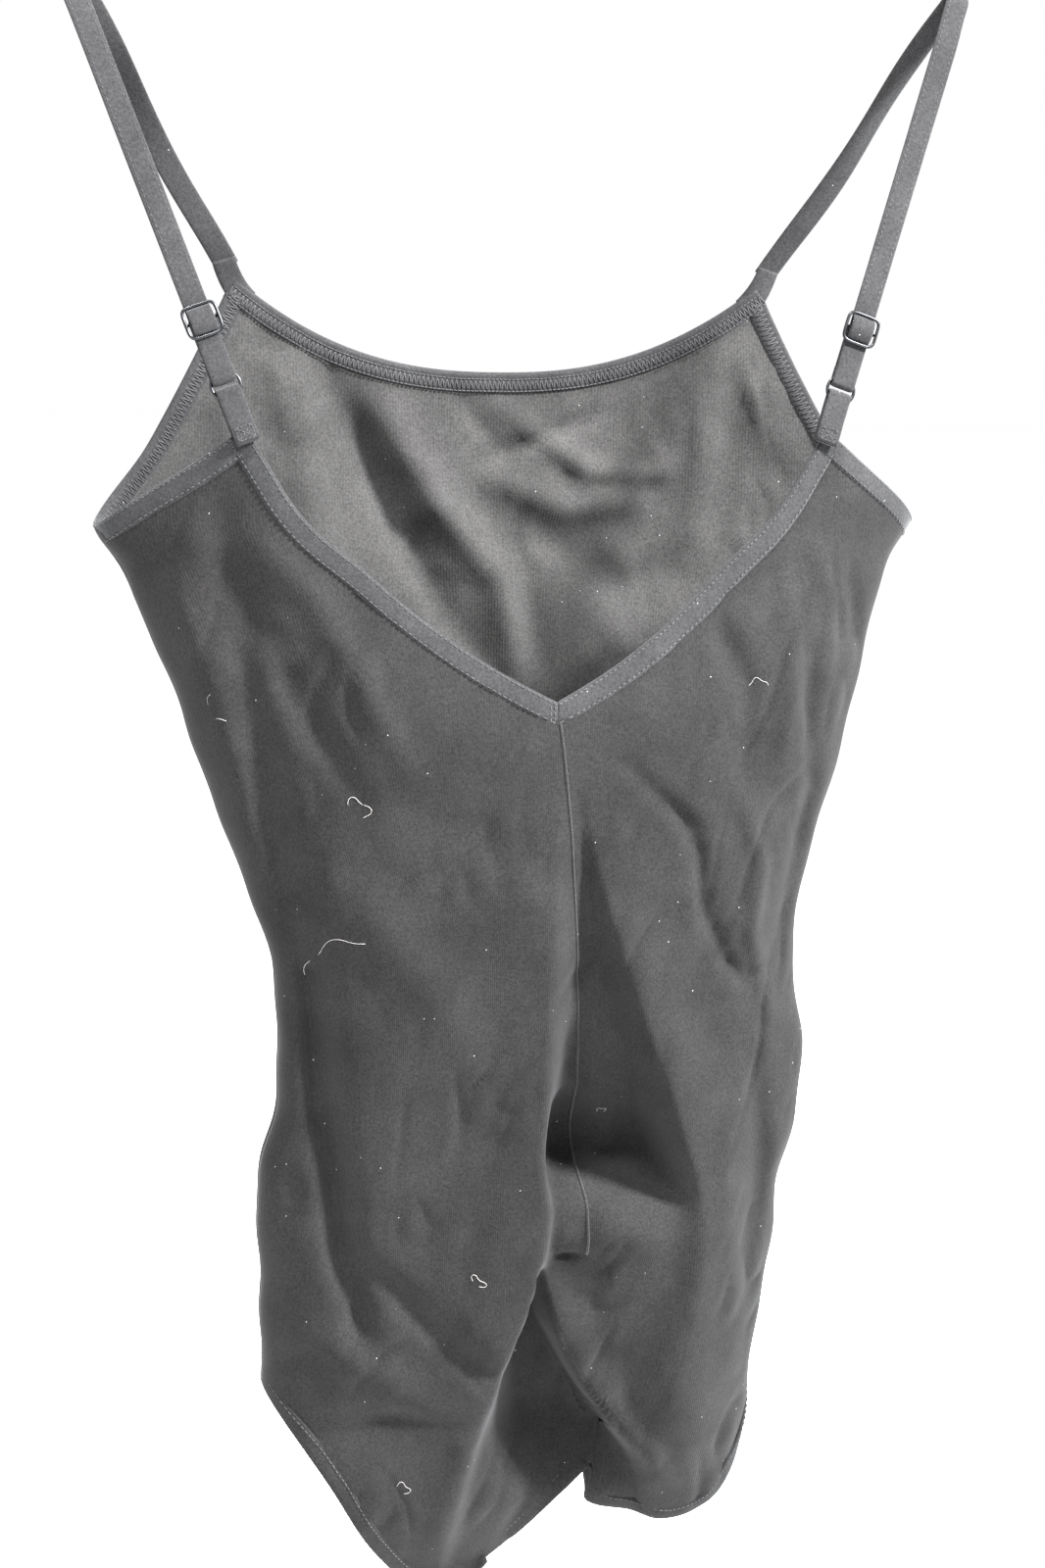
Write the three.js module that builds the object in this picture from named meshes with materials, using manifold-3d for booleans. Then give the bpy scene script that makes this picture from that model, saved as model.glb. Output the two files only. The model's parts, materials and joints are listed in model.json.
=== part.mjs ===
// A camisole leotard for dance and gymnastics, as it hangs by its straps: front and back panels, folded
// bindings with elastic inside, leg hems, a crotch lining, and two straps, each with a slider and a ring.
// Millimetres, +Z up. The wearer faces -Y and the wearer's left is +X. The origin is midway between the tops of
// the two straps, level with the underside of the fabric that rests on a hanger.
import * as THREE from "three";
import { mergeVertices } from "three/addons/utils/BufferGeometryUtils.js";
import Module from "manifold-3d";

const wasm = await Module();
wasm.setup();

// ---- Driving dimensions -------------------------------------------------------------------------------------
const FABRIC = 1; // the panels' thickness
const GAP = 0.35; // between pieces that are sewn together
const SLOT_GAP = 0.75; // between a panel's edge and each ply of the binding that holds it
const SECTION_POWER = 2.4; // 2 would make each cross-section an ellipse

// The body at each height: half its width, where its side seams lie in Y, and how far the front and the back
// stand off from the line between the side seams. The chest and the waist hang from the underarm.
const UNDERARM_Z = -232;
const STATIONS = [
  { z: -60, half: 186, seamY: -20, front: 44, back: 53 },
  { z: UNDERARM_Z, half: 186, seamY: -20, front: 44, back: 53 },
  { z: UNDERARM_Z - 83, half: 158, seamY: -5, front: 47, back: 55 },
  { z: UNDERARM_Z - 195, half: 118, seamY: 8, front: 42, back: 38 },
  { z: -556, half: 122, seamY: 2, front: 40, back: 38 },
  { z: -626, half: 119, seamY: -5, front: 32, back: 32 },
  { z: -690, half: 118, seamY: -5, front: 15, back: 15 },
  { z: -724, half: 118, seamY: -5, front: 5, back: 5 },
];

const NECK = { cornerX: 122, cornerZ: -127, middleZ: -167, power: 2.4, straight: 0 };
const BACK_V = { cornerX: 129, cornerZ: -190, middleZ: -304, power: 2.7, straight: 0.48 };
const ARMHOLE_POWER = 1.25;
const LEG = { sideZ: -626, crotchZ: -722, power: 1.15 };
const CROTCH_HALF = 33; // half the width between the leg hems
const CENTRE_SEAM_END_Z = -556; // the back is whole below this

const BINDING = { width: 9, ply: 0.6, bite: 4 }; // bite: how much of its width holds the panel
const ELASTIC = 1.1; // the tape's thickness
const SEAM = { allowance: 5, thick: 1.2 };
const LINING = { thick: 0.8, front: 62, back: 34, clear: 2.2 }; // its reach up the front and the back

const STRAP = { width: 10, thick: 1.2, crownX: 200, crownY: -15, crownRadius: 9 };
const RING = { radius: STRAP.width / 2 + 1.2, wire: 0.7, aboveCorner: 19 };
const SLIDER = { aboveRing: 28, height: 11.5, wire: 0.7, side: 0.6 };
const LOOP_RADIUS = 2.3; // of the fold where a strap or a tab goes round the ring
const LOOP_TO_RING = 0.5; // from the ring's centre to the outside of that fold
const HOOK = { radius: 1.5, tail: 7 }; // the strap's end, folded round the slider's middle bar
const JOIN = { from: 2.2, to: 9 }; // the strap's sewn end, by distance from the neckline's corner
const TAB_FOOT = 3.2; // from the back's top corner to where the tab is sewn on

// ---- Materials ----------------------------------------------------------------------------------------------
const cloth = (colour) => new THREE.MeshStandardMaterial({ color: colour, roughness: 0.95, metalness: 0 });
const JERSEY = cloth(0x2b2b2d);
const TRIM = cloth(0x38383b);
const THREAD = cloth(0x303034);
const TAPE = cloth(0x1d1d20);
const METAL = new THREE.MeshStandardMaterial({ color: 0x4a4a4e, roughness: 0.3, metalness: 1 });

// ---- The body's surface -------------------------------------------------------------------------------------
// A station's value at a height, on a smooth curve through the stations.
function at(key, z) {
  const last = STATIONS.length - 1;
  const upper = STATIONS.findIndex((s, i) => i === last - 1 || z > STATIONS[i + 1].z);
  const slope = (i) => {
    if (i <= 0 || i >= last) return 0;
    return (STATIONS[i + 1][key] - STATIONS[i - 1][key]) / (STATIONS[i + 1].z - STATIONS[i - 1].z);
  };
  const [a, b] = [STATIONS[upper], STATIONS[upper + 1]];
  const span = b.z - a.z;
  const t = THREE.MathUtils.clamp((z - a.z) / span, 0, 1);
  const t2 = t * t;
  const t3 = t2 * t;
  return (
    (2 * t3 - 3 * t2 + 1) * a[key] +
    (t3 - 2 * t2 + t) * span * slope(upper) +
    (3 * t2 - 2 * t3) * b[key] +
    (t3 - t2) * span * slope(upper + 1)
  );
}

// Round the body, turn is -90 degrees at the right side seam, 0 at the middle and 90 degrees at the left.
const FRONT = -1;
const BACK = 1;
const bow = (value) => Math.sign(value) * Math.abs(value) ** (2 / SECTION_POWER);
const turnOf = (share) => Math.asin(Math.sign(share) * Math.abs(share) ** (SECTION_POWER / 2));
const shareOf = (turn) => bow(Math.sin(turn));

function bodyPoint(side, turn, z) {
  const x = at("half", z) * shareOf(turn);
  const y = at("seamY", z) + side * at(side === FRONT ? "front" : "back", z) * bow(Math.cos(turn));
  return new THREE.Vector3(x, y, z);
}

function bodyNormal(side, turn, z) {
  const step = 0.002;
  const across = bodyPoint(side, turn + step, z).sub(bodyPoint(side, turn - step, z));
  const up = bodyPoint(side, turn, z + 0.2).sub(bodyPoint(side, turn, z - 0.2));
  return across.cross(up).multiplyScalar(-side).normalize();
}

// ---- The cut edges of the panels, by share of the half width -------------------------------------------------
const topHalf = at("half", NECK.cornerZ);
const FRONT_CORNER = NECK.cornerX / topHalf;
const BACK_CORNER = BACK_V.cornerX / topHalf;
const CROTCH_SHARE = CROTCH_HALF / at("half", LEG.crotchZ);

function finishedTop(side, share) {
  const s = Math.abs(share);
  const [cut, corner] = side === FRONT ? [NECK, FRONT_CORNER] : [BACK_V, BACK_CORNER];
  if (s <= corner) {
    const curved = (1 - cut.straight) * (s / corner) ** cut.power;
    return cut.middleZ + (cut.cornerZ - cut.middleZ) * (curved + (cut.straight * s) / corner);
  }
  const out = Math.min(1, (s - corner) / (1 - corner));
  const fall = side === FRONT ? 1 - (1 - out) ** ARMHOLE_POWER : out;
  return cut.cornerZ + (UNDERARM_Z - cut.cornerZ) * fall;
}

// The cut edge lies inside the binding, square to the finished edge.
const EDGE_TO_CUT = BINDING.width - BINDING.bite;
function topSlant(side, share) {
  const step = 0.004;
  const corner = side === FRONT ? FRONT_CORNER : BACK_CORNER;
  const s = Math.abs(share);
  const rise = (from) => finishedTop(side, from + step) - finishedTop(side, from);
  const slant = (from) => Math.hypot(1, rise(from) / (step * topHalf));
  if (Math.abs(s - corner) < 1e-6) return Math.max(slant(corner - step), slant(corner));
  return slant(s < corner ? Math.min(s, corner - step) : Math.min(s, 1 - step));
}

function cutTop(side, share) {
  return finishedTop(side, share) - EDGE_TO_CUT * topSlant(side, share);
}

function cutLeg(share) {
  const s = Math.abs(share);
  if (s <= CROTCH_SHARE) return LEG.crotchZ;
  const along = (1 - s) / (1 - CROTCH_SHARE);
  return LEG.sideZ + (LEG.crotchZ - LEG.sideZ) * along ** LEG.power;
}

const X = new THREE.Vector3(1, 0, 0);
const Y = new THREE.Vector3(0, 1, 0);

// ---- Making solids ------------------------------------------------------------------------------------------
function named(name, geometry, material) {
  const mesh = new THREE.Mesh(geometry, material);
  mesh.name = name;
  return mesh;
}

// Only positions, with shared corners merged, so that a moved vertex moves in every face that meets there.
function merged(geometry) {
  geometry.deleteAttribute("normal");
  geometry.deleteAttribute("uv");
  return mergeVertices(geometry, 1e-4);
}

// Moves every vertex of a closed geometry. If the map mirrors space, the faces are turned back outwards.
function bent(geometry, map) {
  const made = merged(geometry);
  const place = made.getAttribute("position");
  for (let i = 0; i < place.count; i++) {
    place.setXYZ(i, ...map(place.getX(i), place.getY(i), place.getZ(i)).toArray());
  }
  return toGeometry(toSolid(made, true));
}

function toSolid(geometry, mayFlip = false) {
  const vertProperties = new Float32Array(geometry.getAttribute("position").array);
  const triVerts = new Uint32Array(geometry.index.array);
  const solid = new wasm.Manifold(new wasm.Mesh({ numProp: 3, vertProperties, triVerts }));
  if (!mayFlip || solid.volume() > 0) return solid;
  for (let i = 0; i < triVerts.length; i += 3) {
    [triVerts[i], triVerts[i + 1]] = [triVerts[i + 1], triVerts[i]];
  }
  return new wasm.Manifold(new wasm.Mesh({ numProp: 3, vertProperties, triVerts }));
}

function toGeometry(solid) {
  const { vertProperties, triVerts } = solid.getMesh();
  return new THREE.BufferGeometry()
    .setAttribute("position", new THREE.BufferAttribute(new Float32Array(vertProperties), 3))
    .setIndex(new THREE.BufferAttribute(new Uint32Array(triVerts), 1));
}

// A closed sheet on a grid of places and directions. Both of its faces have the same diagonals.
function slab(grid, thick, slopesUp) {
  const [columns, rows] = [grid.length, grid[0].length];
  const places = [0.5, -0.5].flatMap((share) =>
    grid.flat().flatMap(({ place, off }) => place.clone().addScaledVector(off, share * thick).toArray()),
  );
  const index = [];
  const quad = (a, b, c, d, up = true) => index.push(...(up ? [a, b, c, a, c, d] : [a, b, d, b, c, d]));
  const vertex = (i, j, face) => (face * columns + i) * rows + j;
  const wall = ([i, j], [k, l]) => quad(vertex(i, j, 1), vertex(k, l, 1), vertex(k, l, 0), vertex(i, j, 0));
  for (let i = 0; i < columns - 1; i++) {
    for (let j = 0; j < rows - 1; j++) {
      const [a, b, c, d] = [[i, j], [i + 1, j], [i + 1, j + 1], [i, j + 1]];
      quad(...[a, b, c, d].map((at) => vertex(...at, 0)), slopesUp(i));
      quad(...[b, a, d, c].map((at) => vertex(...at, 1)), !slopesUp(i));
    }
    wall([i, 0], [i + 1, 0]);
    wall([i + 1, rows - 1], [i, rows - 1]);
  }
  for (let j = 0; j < rows - 1; j++) {
    wall([0, j + 1], [0, j]);
    wall([columns - 1, j], [columns - 1, j + 1]);
  }
  const geometry = new THREE.BufferGeometry();
  geometry.setAttribute("position", new THREE.Float32BufferAttribute(places, 3)).setIndex(index);
  return toGeometry(toSolid(geometry, true));
}

// A rectangular strip that follows a line of frames. A frame has a place, an across and an off direction.
function strip(frames, width, thick) {
  const last = frames.length - 1;
  return bent(new THREE.BoxGeometry(1, 1, last, 1, 1, last), (x, y, z) => {
    const f = frames[Math.round(z + last / 2)];
    return f.place.clone().addScaledVector(f.across, x * width).addScaledVector(f.off, y * thick);
  });
}

// ---- Panels -------------------------------------------------------------------------------------------------
const COLUMNS = { inner: 12, outer: 13 }; // from the middle to the top corner, and from there to the side
const CROTCH_COLUMN = 3;
const MOST = COLUMNS.inner + COLUMNS.outer;
const ROWS = 18;
const SIDE_TURN = Math.PI / 2 - 0.012; // the panels stop just short of the side seam

function columnTurn(side, column) {
  const corner = turnOf(side === FRONT ? FRONT_CORNER : BACK_CORNER);
  const crotch = turnOf(CROTCH_SHARE);
  const c = Math.abs(column);
  let turn = corner + ((SIDE_TURN - corner) * (c - COLUMNS.inner)) / COLUMNS.outer;
  if (c < CROTCH_COLUMN) turn = (crotch * c) / CROTCH_COLUMN;
  else if (c < COLUMNS.inner) {
    turn = crotch + ((corner - crotch) * (c - CROTCH_COLUMN)) / (COLUMNS.inner - CROTCH_COLUMN);
  }
  return Math.sign(column) * turn;
}

function panel(side) {
  const grid = [];
  for (let column = -MOST; column <= MOST; column++) {
    const turn = columnTurn(side, column);
    const share = shareOf(turn);
    const line = Array.from({ length: ROWS + 1 }, (_, row) => {
      const z = THREE.MathUtils.lerp(cutLeg(share), cutTop(side, share), row / ROWS);
      return { place: bodyPoint(side, turn, z), off: bodyNormal(side, turn, z) };
    });
    grid.push(line);
  }
  return slab(grid, FABRIC, (i) => i < MOST);
}

// ---- Bindings, hems and their elastic -----------------------------------------------------------------------
// A frame on a cut edge: across points off the fabric's edge and off points away from the wearer.
function edgeFrame(side, cut, turn, upward) {
  const step = 0.004;
  const point = (t) => bodyPoint(side, t, cut(shareOf(t)));
  const inside = THREE.MathUtils.clamp(turn, step - SIDE_TURN, SIDE_TURN - step);
  const along = point(inside + step).sub(point(inside - step)).normalize();
  const off = bodyNormal(side, turn, cut(shareOf(turn)));
  const across = along.cross(off).normalize();
  return { place: point(turn), off, across: across.z > 0 === upward ? across : across.negate() };
}

const columnsOf = (side, from, to) =>
  Array.from({ length: Math.abs(to - from) + 1 }, (_, i) => columnTurn(side, from + i * Math.sign(to - from)));
const topFrames = (side, turns) => turns.map((t) => edgeFrame(side, (share) => cutTop(side, share), t, true));
const legFramesOf = (side, turns) => turns.map((t) => edgeFrame(side, cutLeg, t, false));

// Strips of any section that follow frames. The section is drawn in the frame's across and off directions.
function swept(outline, frames, closed = false) {
  const shape = new THREE.Shape(outline.map(([across, off]) => new THREE.Vector2(across, off)));
  const steps = closed ? frames.length : frames.length - 1;
  const straight = new THREE.ExtrudeGeometry(shape, { depth: steps, steps, bevelEnabled: false });
  const place = (x, y, z) => {
    const f = frames[Math.round(z) % frames.length];
    return f.place.clone().addScaledVector(f.across, x).addScaledVector(f.off, y);
  };
  if (!closed) return bent(straight, place);
  return bent(withoutEnds(straight, steps), place);
}

// An extrusion whose two ends are to be the same ring: its end faces go, and its last ring becomes its first.
function withoutEnds(geometry, depth) {
  const p = geometry.getAttribute("position");
  const kept = [];
  for (let i = 0; i < p.count; i += 3) {
    const z = [p.getZ(i), p.getZ(i + 1), p.getZ(i + 2)];
    if (z.every((v) => v < 1e-3) || z.every((v) => v > depth - 1e-3)) continue;
    for (let k = 0; k < 3; k++) kept.push(p.getX(i + k), p.getY(i + k), z[k] > depth - 1e-3 ? 0 : z[k]);
  }
  return new THREE.BufferGeometry().setAttribute("position", new THREE.Float32BufferAttribute(kept, 3));
}

// A binding's folded section: it holds the panel's edge and, above that edge, the elastic.
const slotHalf = FABRIC / 2 + SLOT_GAP;
const bindingHalf = slotHalf + BINDING.ply;
const FOLDED = [
  [-BINDING.bite, slotHalf],
  [-BINDING.bite, bindingHalf],
  [EDGE_TO_CUT, bindingHalf],
  [EDGE_TO_CUT, -bindingHalf],
  [-BINDING.bite, -bindingHalf],
  [-BINDING.bite, -slotHalf],
  [EDGE_TO_CUT - BINDING.ply, -slotHalf],
  [EDGE_TO_CUT - BINDING.ply, slotHalf],
];
const TAPE_SECTION = [
  [GAP, -ELASTIC / 2],
  [EDGE_TO_CUT - BINDING.ply - GAP, -ELASTIC / 2],
  [EDGE_TO_CUT - BINDING.ply - GAP, ELASTIC / 2],
  [GAP, ELASTIC / 2],
];

// Both binding and elastic of one edge, as two meshes.
function boundEdge(name, frames, closed = false) {
  return [
    named(name + "_binding", swept(FOLDED, frames, closed), TRIM),
    named(name + "_elastic", swept(TAPE_SECTION, frames, closed), TAPE),
  ];
}

// The turn at a distance along the cut edge from the top corner, towards the side.
function pastCorner(side, distance) {
  const turn = columnTurn(side, COLUMNS.inner);
  const point = (t) => bodyPoint(side, t, cutTop(side, shareOf(t)));
  let t = turn;
  while (point(t).distanceTo(point(turn)) < distance) t += 0.002;
  return t;
}

const mirrorX = (frames) =>
  frames.map((f) => {
    const flip = (v) => v.clone().multiply(new THREE.Vector3(-1, 1, 1));
    return { place: flip(f.place), across: flip(f.across), off: flip(f.off) };
  });

// The armhole runs down the front edge from the neckline's corner, under the arm, and up the back edge.
function armSide(side, clearOfCorner) {
  const start = pastCorner(side, clearOfCorner);
  return topFrames(side, [start, ...columnsOf(side, COLUMNS.inner, MOST).filter((t) => t > start + 0.03)]);
}
const armFrames = [...armSide(FRONT, 11.5), ...armSide(BACK, 10.5).reverse()];

// The two halves of the back neckline meet in a mitre at the point of the V.
const vTurns = columnsOf(BACK, 1, COLUMNS.inner);
vTurns[vTurns.length - 1] -= 0.012;
const foot = topFrames(BACK, [0])[0];
const mitre = {
  place: foot.place.clone().setX(GAP / 2),
  off: foot.off,
  across: new THREE.Vector3(0, -foot.off.z, foot.off.y).multiplyScalar(topSlant(BACK, 0)),
};
const vFrames = [mitre, ...topFrames(BACK, vTurns)];

// Under the crotch, frames turn about a line along X, from the front to the back.
const CROTCH_STEPS = 6;
const crotchY = at("seamY", LEG.crotchZ);
function crotchFrames(x, radius, from, to) {
  return Array.from({ length: to - from + 1 }, (_, i) => {
    const angle = (Math.PI * (from + i)) / CROTCH_STEPS;
    const off = new THREE.Vector3(0, -Math.cos(angle), -Math.sin(angle));
    const middle = new THREE.Vector3(x, crotchY, LEG.crotchZ - GAP);
    return { place: middle.addScaledVector(off, radius), off, across: X.clone() };
  });
}

// Each leg hem is a closed loop: down the front edge, under the crotch and up the back edge.
const crotchRadius = at("front", LEG.crotchZ);
const legFrames = [
  ...legFramesOf(FRONT, columnsOf(FRONT, MOST, CROTCH_COLUMN + 1)),
  ...crotchFrames(CROTCH_HALF, crotchRadius, 0, CROTCH_STEPS),
  ...legFramesOf(BACK, columnsOf(BACK, CROTCH_COLUMN + 1, MOST)),
];

// The half tube that joins the two panels under the crotch.
function crotchSeam() {
  return strip(crotchFrames(0, crotchRadius, 0, CROTCH_STEPS), 2 * CROTCH_HALF, FABRIC);
}

// The lining follows the inside of the front, turns at the crotch and goes up the inside of the back.
function crotchLining() {
  const inner = (side, z) => {
    const off = bodyNormal(side, 0, z);
    return { place: bodyPoint(side, 0, z).addScaledVector(off, -LINING.clear), off, across: X.clone() };
  };
  const heights = [0, 1, 2, 3, 4, 5, 6].map((i) => i / 6);
  const down = heights.map((share) => inner(FRONT, LEG.crotchZ + LINING.front * (1 - share)));
  const up = heights.map((share) => inner(BACK, LEG.crotchZ + LINING.back * share));
  const under = crotchFrames(0, crotchRadius - LINING.clear, 1, CROTCH_STEPS - 1);
  return strip([...down, ...under, ...up], 2 * (CROTCH_HALF - BINDING.bite - 3), LINING.thick);
}

// ---- Seam allowances inside ---------------------------------------------------------------------------------
const SEAM_STEPS = 14;
const clearOfBinding = EDGE_TO_CUT + BINDING.bite;

function sideSeam() {
  const inset = SEAM.allowance / 2 - FABRIC / 2;
  const frames = Array.from({ length: SEAM_STEPS + 1 }, (_, i) => {
    const z = THREE.MathUtils.lerp(LEG.sideZ + clearOfBinding, UNDERARM_Z - 2 * clearOfBinding, i / SEAM_STEPS);
    const place = new THREE.Vector3(at("half", z) - inset, at("seamY", z), z);
    return { place, across: X.clone(), off: Y.clone() };
  });
  return strip(frames, SEAM.allowance, SEAM.thick);
}

function centreSeam() {
  const top = cutTop(BACK, 0) - BINDING.bite * topSlant(BACK, 0) - 2;
  const frames = Array.from({ length: SEAM_STEPS + 1 }, (_, i) => {
    const z = THREE.MathUtils.lerp(CENTRE_SEAM_END_Z, top, i / SEAM_STEPS);
    const off = bodyNormal(BACK, 0, z);
    const inside = FABRIC / 2 + GAP + SEAM.thick / 2;
    return { place: bodyPoint(BACK, 0, z).addScaledVector(off, -inside), across: X.clone(), off };
  });
  return strip(frames, SEAM.allowance, SEAM.thick);
}

// ---- Straps, rings and sliders -------------------------------------------------------------------------------
const neckCorner = bodyPoint(FRONT, turnOf(FRONT_CORNER), NECK.cornerZ);
const backCorner = bodyPoint(BACK, turnOf(BACK_CORNER), BACK_V.cornerZ);
// The two runs aim at a point above the crown, because the bend cuts their corner off.
const hanging = new THREE.Vector3(STRAP.crownX, STRAP.crownY, 0);
const steepness = (corner) => hanging.clone().sub(corner).normalize().z;
const bendDrop = (STRAP.crownRadius * (steepness(neckCorner) + steepness(backCorner))) / 4;
const crown = hanging.clone().setZ(STRAP.thick / 2 + bendDrop);
const frontRun = crown.clone().sub(neckCorner).normalize(); // upwards
const backRun = crown.clone().sub(backCorner).normalize(); // upwards
const acrossOf = (along) => X.clone().addScaledVector(along, -X.dot(along)).normalize();
const backAcross = acrossOf(backRun);
const backOff = backRun.clone().cross(backAcross).normalize(); // away from the wearer
const onBack = (distance, off = 0) =>
  backCorner.clone().addScaledVector(backRun, distance).addScaledVector(backOff, off);
const backFrame = (place, off) => ({ place, off, across: backAcross });

// A fold of a strip about a line across the strap: angles run from the outer layer to the inner one.
function fold(distance, off, radius, fromAngle, toAngle, steps) {
  return Array.from({ length: steps + 1 }, (_, i) => {
    const angle = THREE.MathUtils.lerp(fromAngle, toAngle, i / steps);
    const out = backOff.clone().multiplyScalar(Math.cos(angle)).addScaledVector(backRun, Math.sin(angle));
    return backFrame(onBack(distance, off).addScaledVector(out, radius), out);
  });
}

const loopFold = RING.aboveCorner + LOOP_TO_RING + LOOP_RADIUS + STRAP.thick / 2;
const tabFold = RING.aboveCorner - LOOP_TO_RING - LOOP_RADIUS - STRAP.thick / 2;
const backLength = crown.distanceTo(backCorner);
const sliderAt = RING.aboveCorner + SLIDER.aboveRing;
const LOOP_END = 6; // the inner layer's length that doesn't move with the slider

// The strap: from its sewn end up over the hanger, down the back, and round the ring.
function strapFrames() {
  const start = neckCorner.clone().addScaledVector(frontRun, JOIN.to);
  const peak = onBack(backLength, LOOP_RADIUS);
  const frontEnd = peak.clone().addScaledVector(peak.clone().sub(start).normalize(), -STRAP.crownRadius);
  const backEnd = peak.clone().addScaledVector(backRun, -STRAP.crownRadius);
  const stretches = [
    [new THREE.LineCurve3(start, frontEnd), 6],
    [new THREE.QuadraticBezierCurve3(frontEnd, peak, backEnd), 6],
    [new THREE.LineCurve3(backEnd, onBack(loopFold, LOOP_RADIUS)), 10],
  ];
  const frames = stretches.flatMap(([curve, count]) =>
    Array.from({ length: count }, (_, i) => {
      const along = curve.getTangent(i / count).normalize();
      const across = acrossOf(along);
      return { place: curve.getPoint(i / count), across, off: across.clone().cross(along).normalize() };
    }),
  );
  const round = fold(loopFold, 0, LOOP_RADIUS, 0, -Math.PI, 6);
  const inner = backFrame(onBack(loopFold + LOOP_END, -LOOP_RADIUS), backOff.clone().negate());
  return [...frames, ...round, inner];
}

// The strap's end: up the inside from the ring, and folded round the slider's middle bar.
function tailFrames() {
  const bar = HOOK.radius - LOOP_RADIUS;
  const up = onBack(loopFold + LOOP_END + GAP, -LOOP_RADIUS);
  const away = backOff.clone().negate();
  return [
    backFrame(up, away),
    ...fold(sliderAt, bar, HOOK.radius, Math.PI, 0, 6),
    backFrame(onBack(sliderAt - HOOK.tail, bar + HOOK.radius), backOff.clone()),
  ];
}

// The tab: up from the back corner, round the ring and down again.
function tabFrames() {
  return [
    backFrame(onBack(TAB_FOOT, LOOP_RADIUS), backOff.clone()),
    ...fold(tabFold, 0, LOOP_RADIUS, 0, Math.PI, 6),
    backFrame(onBack(TAB_FOOT, -LOOP_RADIUS), backOff.clone().negate()),
  ];
}

// The sewn end of the strap at the neckline's corner.
function joinFrames() {
  const across = acrossOf(frontRun);
  const off = across.clone().cross(frontRun).normalize();
  const along = (d) => neckCorner.clone().addScaledVector(frontRun, d);
  return [JOIN.from, JOIN.to - GAP].map((d) => ({ place: along(d), across, off }));
}

// A place on the strap's back run as a matrix: X across, Y up the run and Z away from the wearer.
function backPlace(distance, off = 0) {
  return new THREE.Matrix4()
    .makeBasis(backAcross.clone().negate(), backRun, backOff)
    .setPosition(onBack(distance, off));
}

function ring() {
  const wire = new THREE.Path().absarc(RING.radius, 0, RING.wire, 0, 2 * Math.PI).getPoints(5);
  const geometry = merged(new THREE.LatheGeometry(wire, 24));
  return geometry.rotateX(Math.PI / 2);
}

// The slider: a round wire frame in front of the strap, with its middle bar bowed back behind it.
function slider() {
  const halfWidth = STRAP.width / 2 + SLIDER.side + SLIDER.wire;
  const frontZ = LOOP_RADIUS + STRAP.thick / 2 + GAP + SLIDER.wire;
  const backZ = HOOK.radius - LOOP_RADIUS;
  const halfHeight = SLIDER.height / 2;
  const bar = (from, to) => {
    const along = new THREE.Vector3(...to).sub(new THREE.Vector3(...from));
    const middle = new THREE.Vector3(...from).addScaledVector(along, 0.5);
    const rod = new THREE.CapsuleGeometry(SLIDER.wire, along.length(), 2, 8);
    const spin = new THREE.Quaternion().setFromUnitVectors(Y, along.clone().normalize());
    return toSolid(merged(rod.applyQuaternion(spin).translate(...middle.toArray())));
  };
  const corners = [
    [halfWidth, halfHeight],
    [-halfWidth, halfHeight],
    [-halfWidth, -halfHeight],
    [halfWidth, -halfHeight],
  ];
  const frame = corners.map(([x, y], i) => {
    const [nx, ny] = corners[(i + 1) % corners.length];
    return bar([x, y, frontZ], [nx, ny, frontZ]);
  });
  const middle = [
    bar([halfWidth, 0, frontZ], [halfWidth, 0, backZ]),
    bar([halfWidth, 0, backZ], [-halfWidth, 0, backZ]),
    bar([-halfWidth, 0, backZ], [-halfWidth, 0, frontZ]),
  ];
  return toGeometry([...frame, ...middle].reduce((all, one) => all.add(one)));
}

const flipped = (geometry) => {
  const solid = toSolid(merged(geometry.clone())).mirror([1, 0, 0]);
  return toGeometry(solid);
};

// ---- The leotard --------------------------------------------------------------------------------------------
const leotard = new THREE.Group();
leotard.add(named("front_panel", panel(FRONT), JERSEY));
leotard.add(named("back_panel", panel(BACK), JERSEY));
leotard.add(named("centre_back_seam", centreSeam(), THREAD));
leotard.add(named("crotch_seam", crotchSeam(), JERSEY));
leotard.add(named("crotch_lining", crotchLining(), THREAD));

const neckTurns = columnsOf(FRONT, -COLUMNS.inner, COLUMNS.inner);
neckTurns[0] += 0.012;
neckTurns[neckTurns.length - 1] -= 0.012;
leotard.add(...boundEdge("front_neck", topFrames(FRONT, neckTurns)));

// Everything that the leotard has once on each side.
function oneSide(side, mirror) {
  const frames = (list) => (mirror ? mirrorX(list) : list);
  const shaped = (geometry) => (mirror ? flipped(geometry) : geometry);
  const strapPiece = (list) => shaped(strip(list, STRAP.width, STRAP.thick));
  return [
    ...boundEdge("back_neck_" + side, frames(vFrames)),
    ...boundEdge("armhole_" + side, frames(armFrames)),
    ...boundEdge("leg_" + side, frames(legFrames), true),
    named("side_seam_" + side, shaped(sideSeam()), THREAD),
    named("strap_" + side, strapPiece(strapFrames()), TRIM),
    named("strap_end_" + side, strapPiece(tailFrames()), TRIM),
    named("strap_join_" + side, strapPiece(joinFrames()), TRIM),
    named("ring_tab_" + side, strapPiece(tabFrames()), TRIM),
    named("ring_" + side, shaped(ring().applyMatrix4(backPlace(RING.aboveCorner))), METAL),
    named("slider_" + side, shaped(slider().applyMatrix4(backPlace(sliderAt))), METAL),
  ];
}
leotard.add(...oneSide("left", false), ...oneSide("right", true));

export default leotard;
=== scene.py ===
# %% [markdown]
# # A camisole leotard, seen from the back
# The leotard hangs by its two straps. It is a soft tube of black jersey with a scooped front, a V back and
# high legs. The frame from the CAD step is loaded first, because each cloth piece has to sit where its
# plain solid sits. We keep the frame's box.

# %% Load the frame
import json
import math
import bmesh
import bpy
import numpy as np
from mathutils import Matrix, Vector

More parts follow.
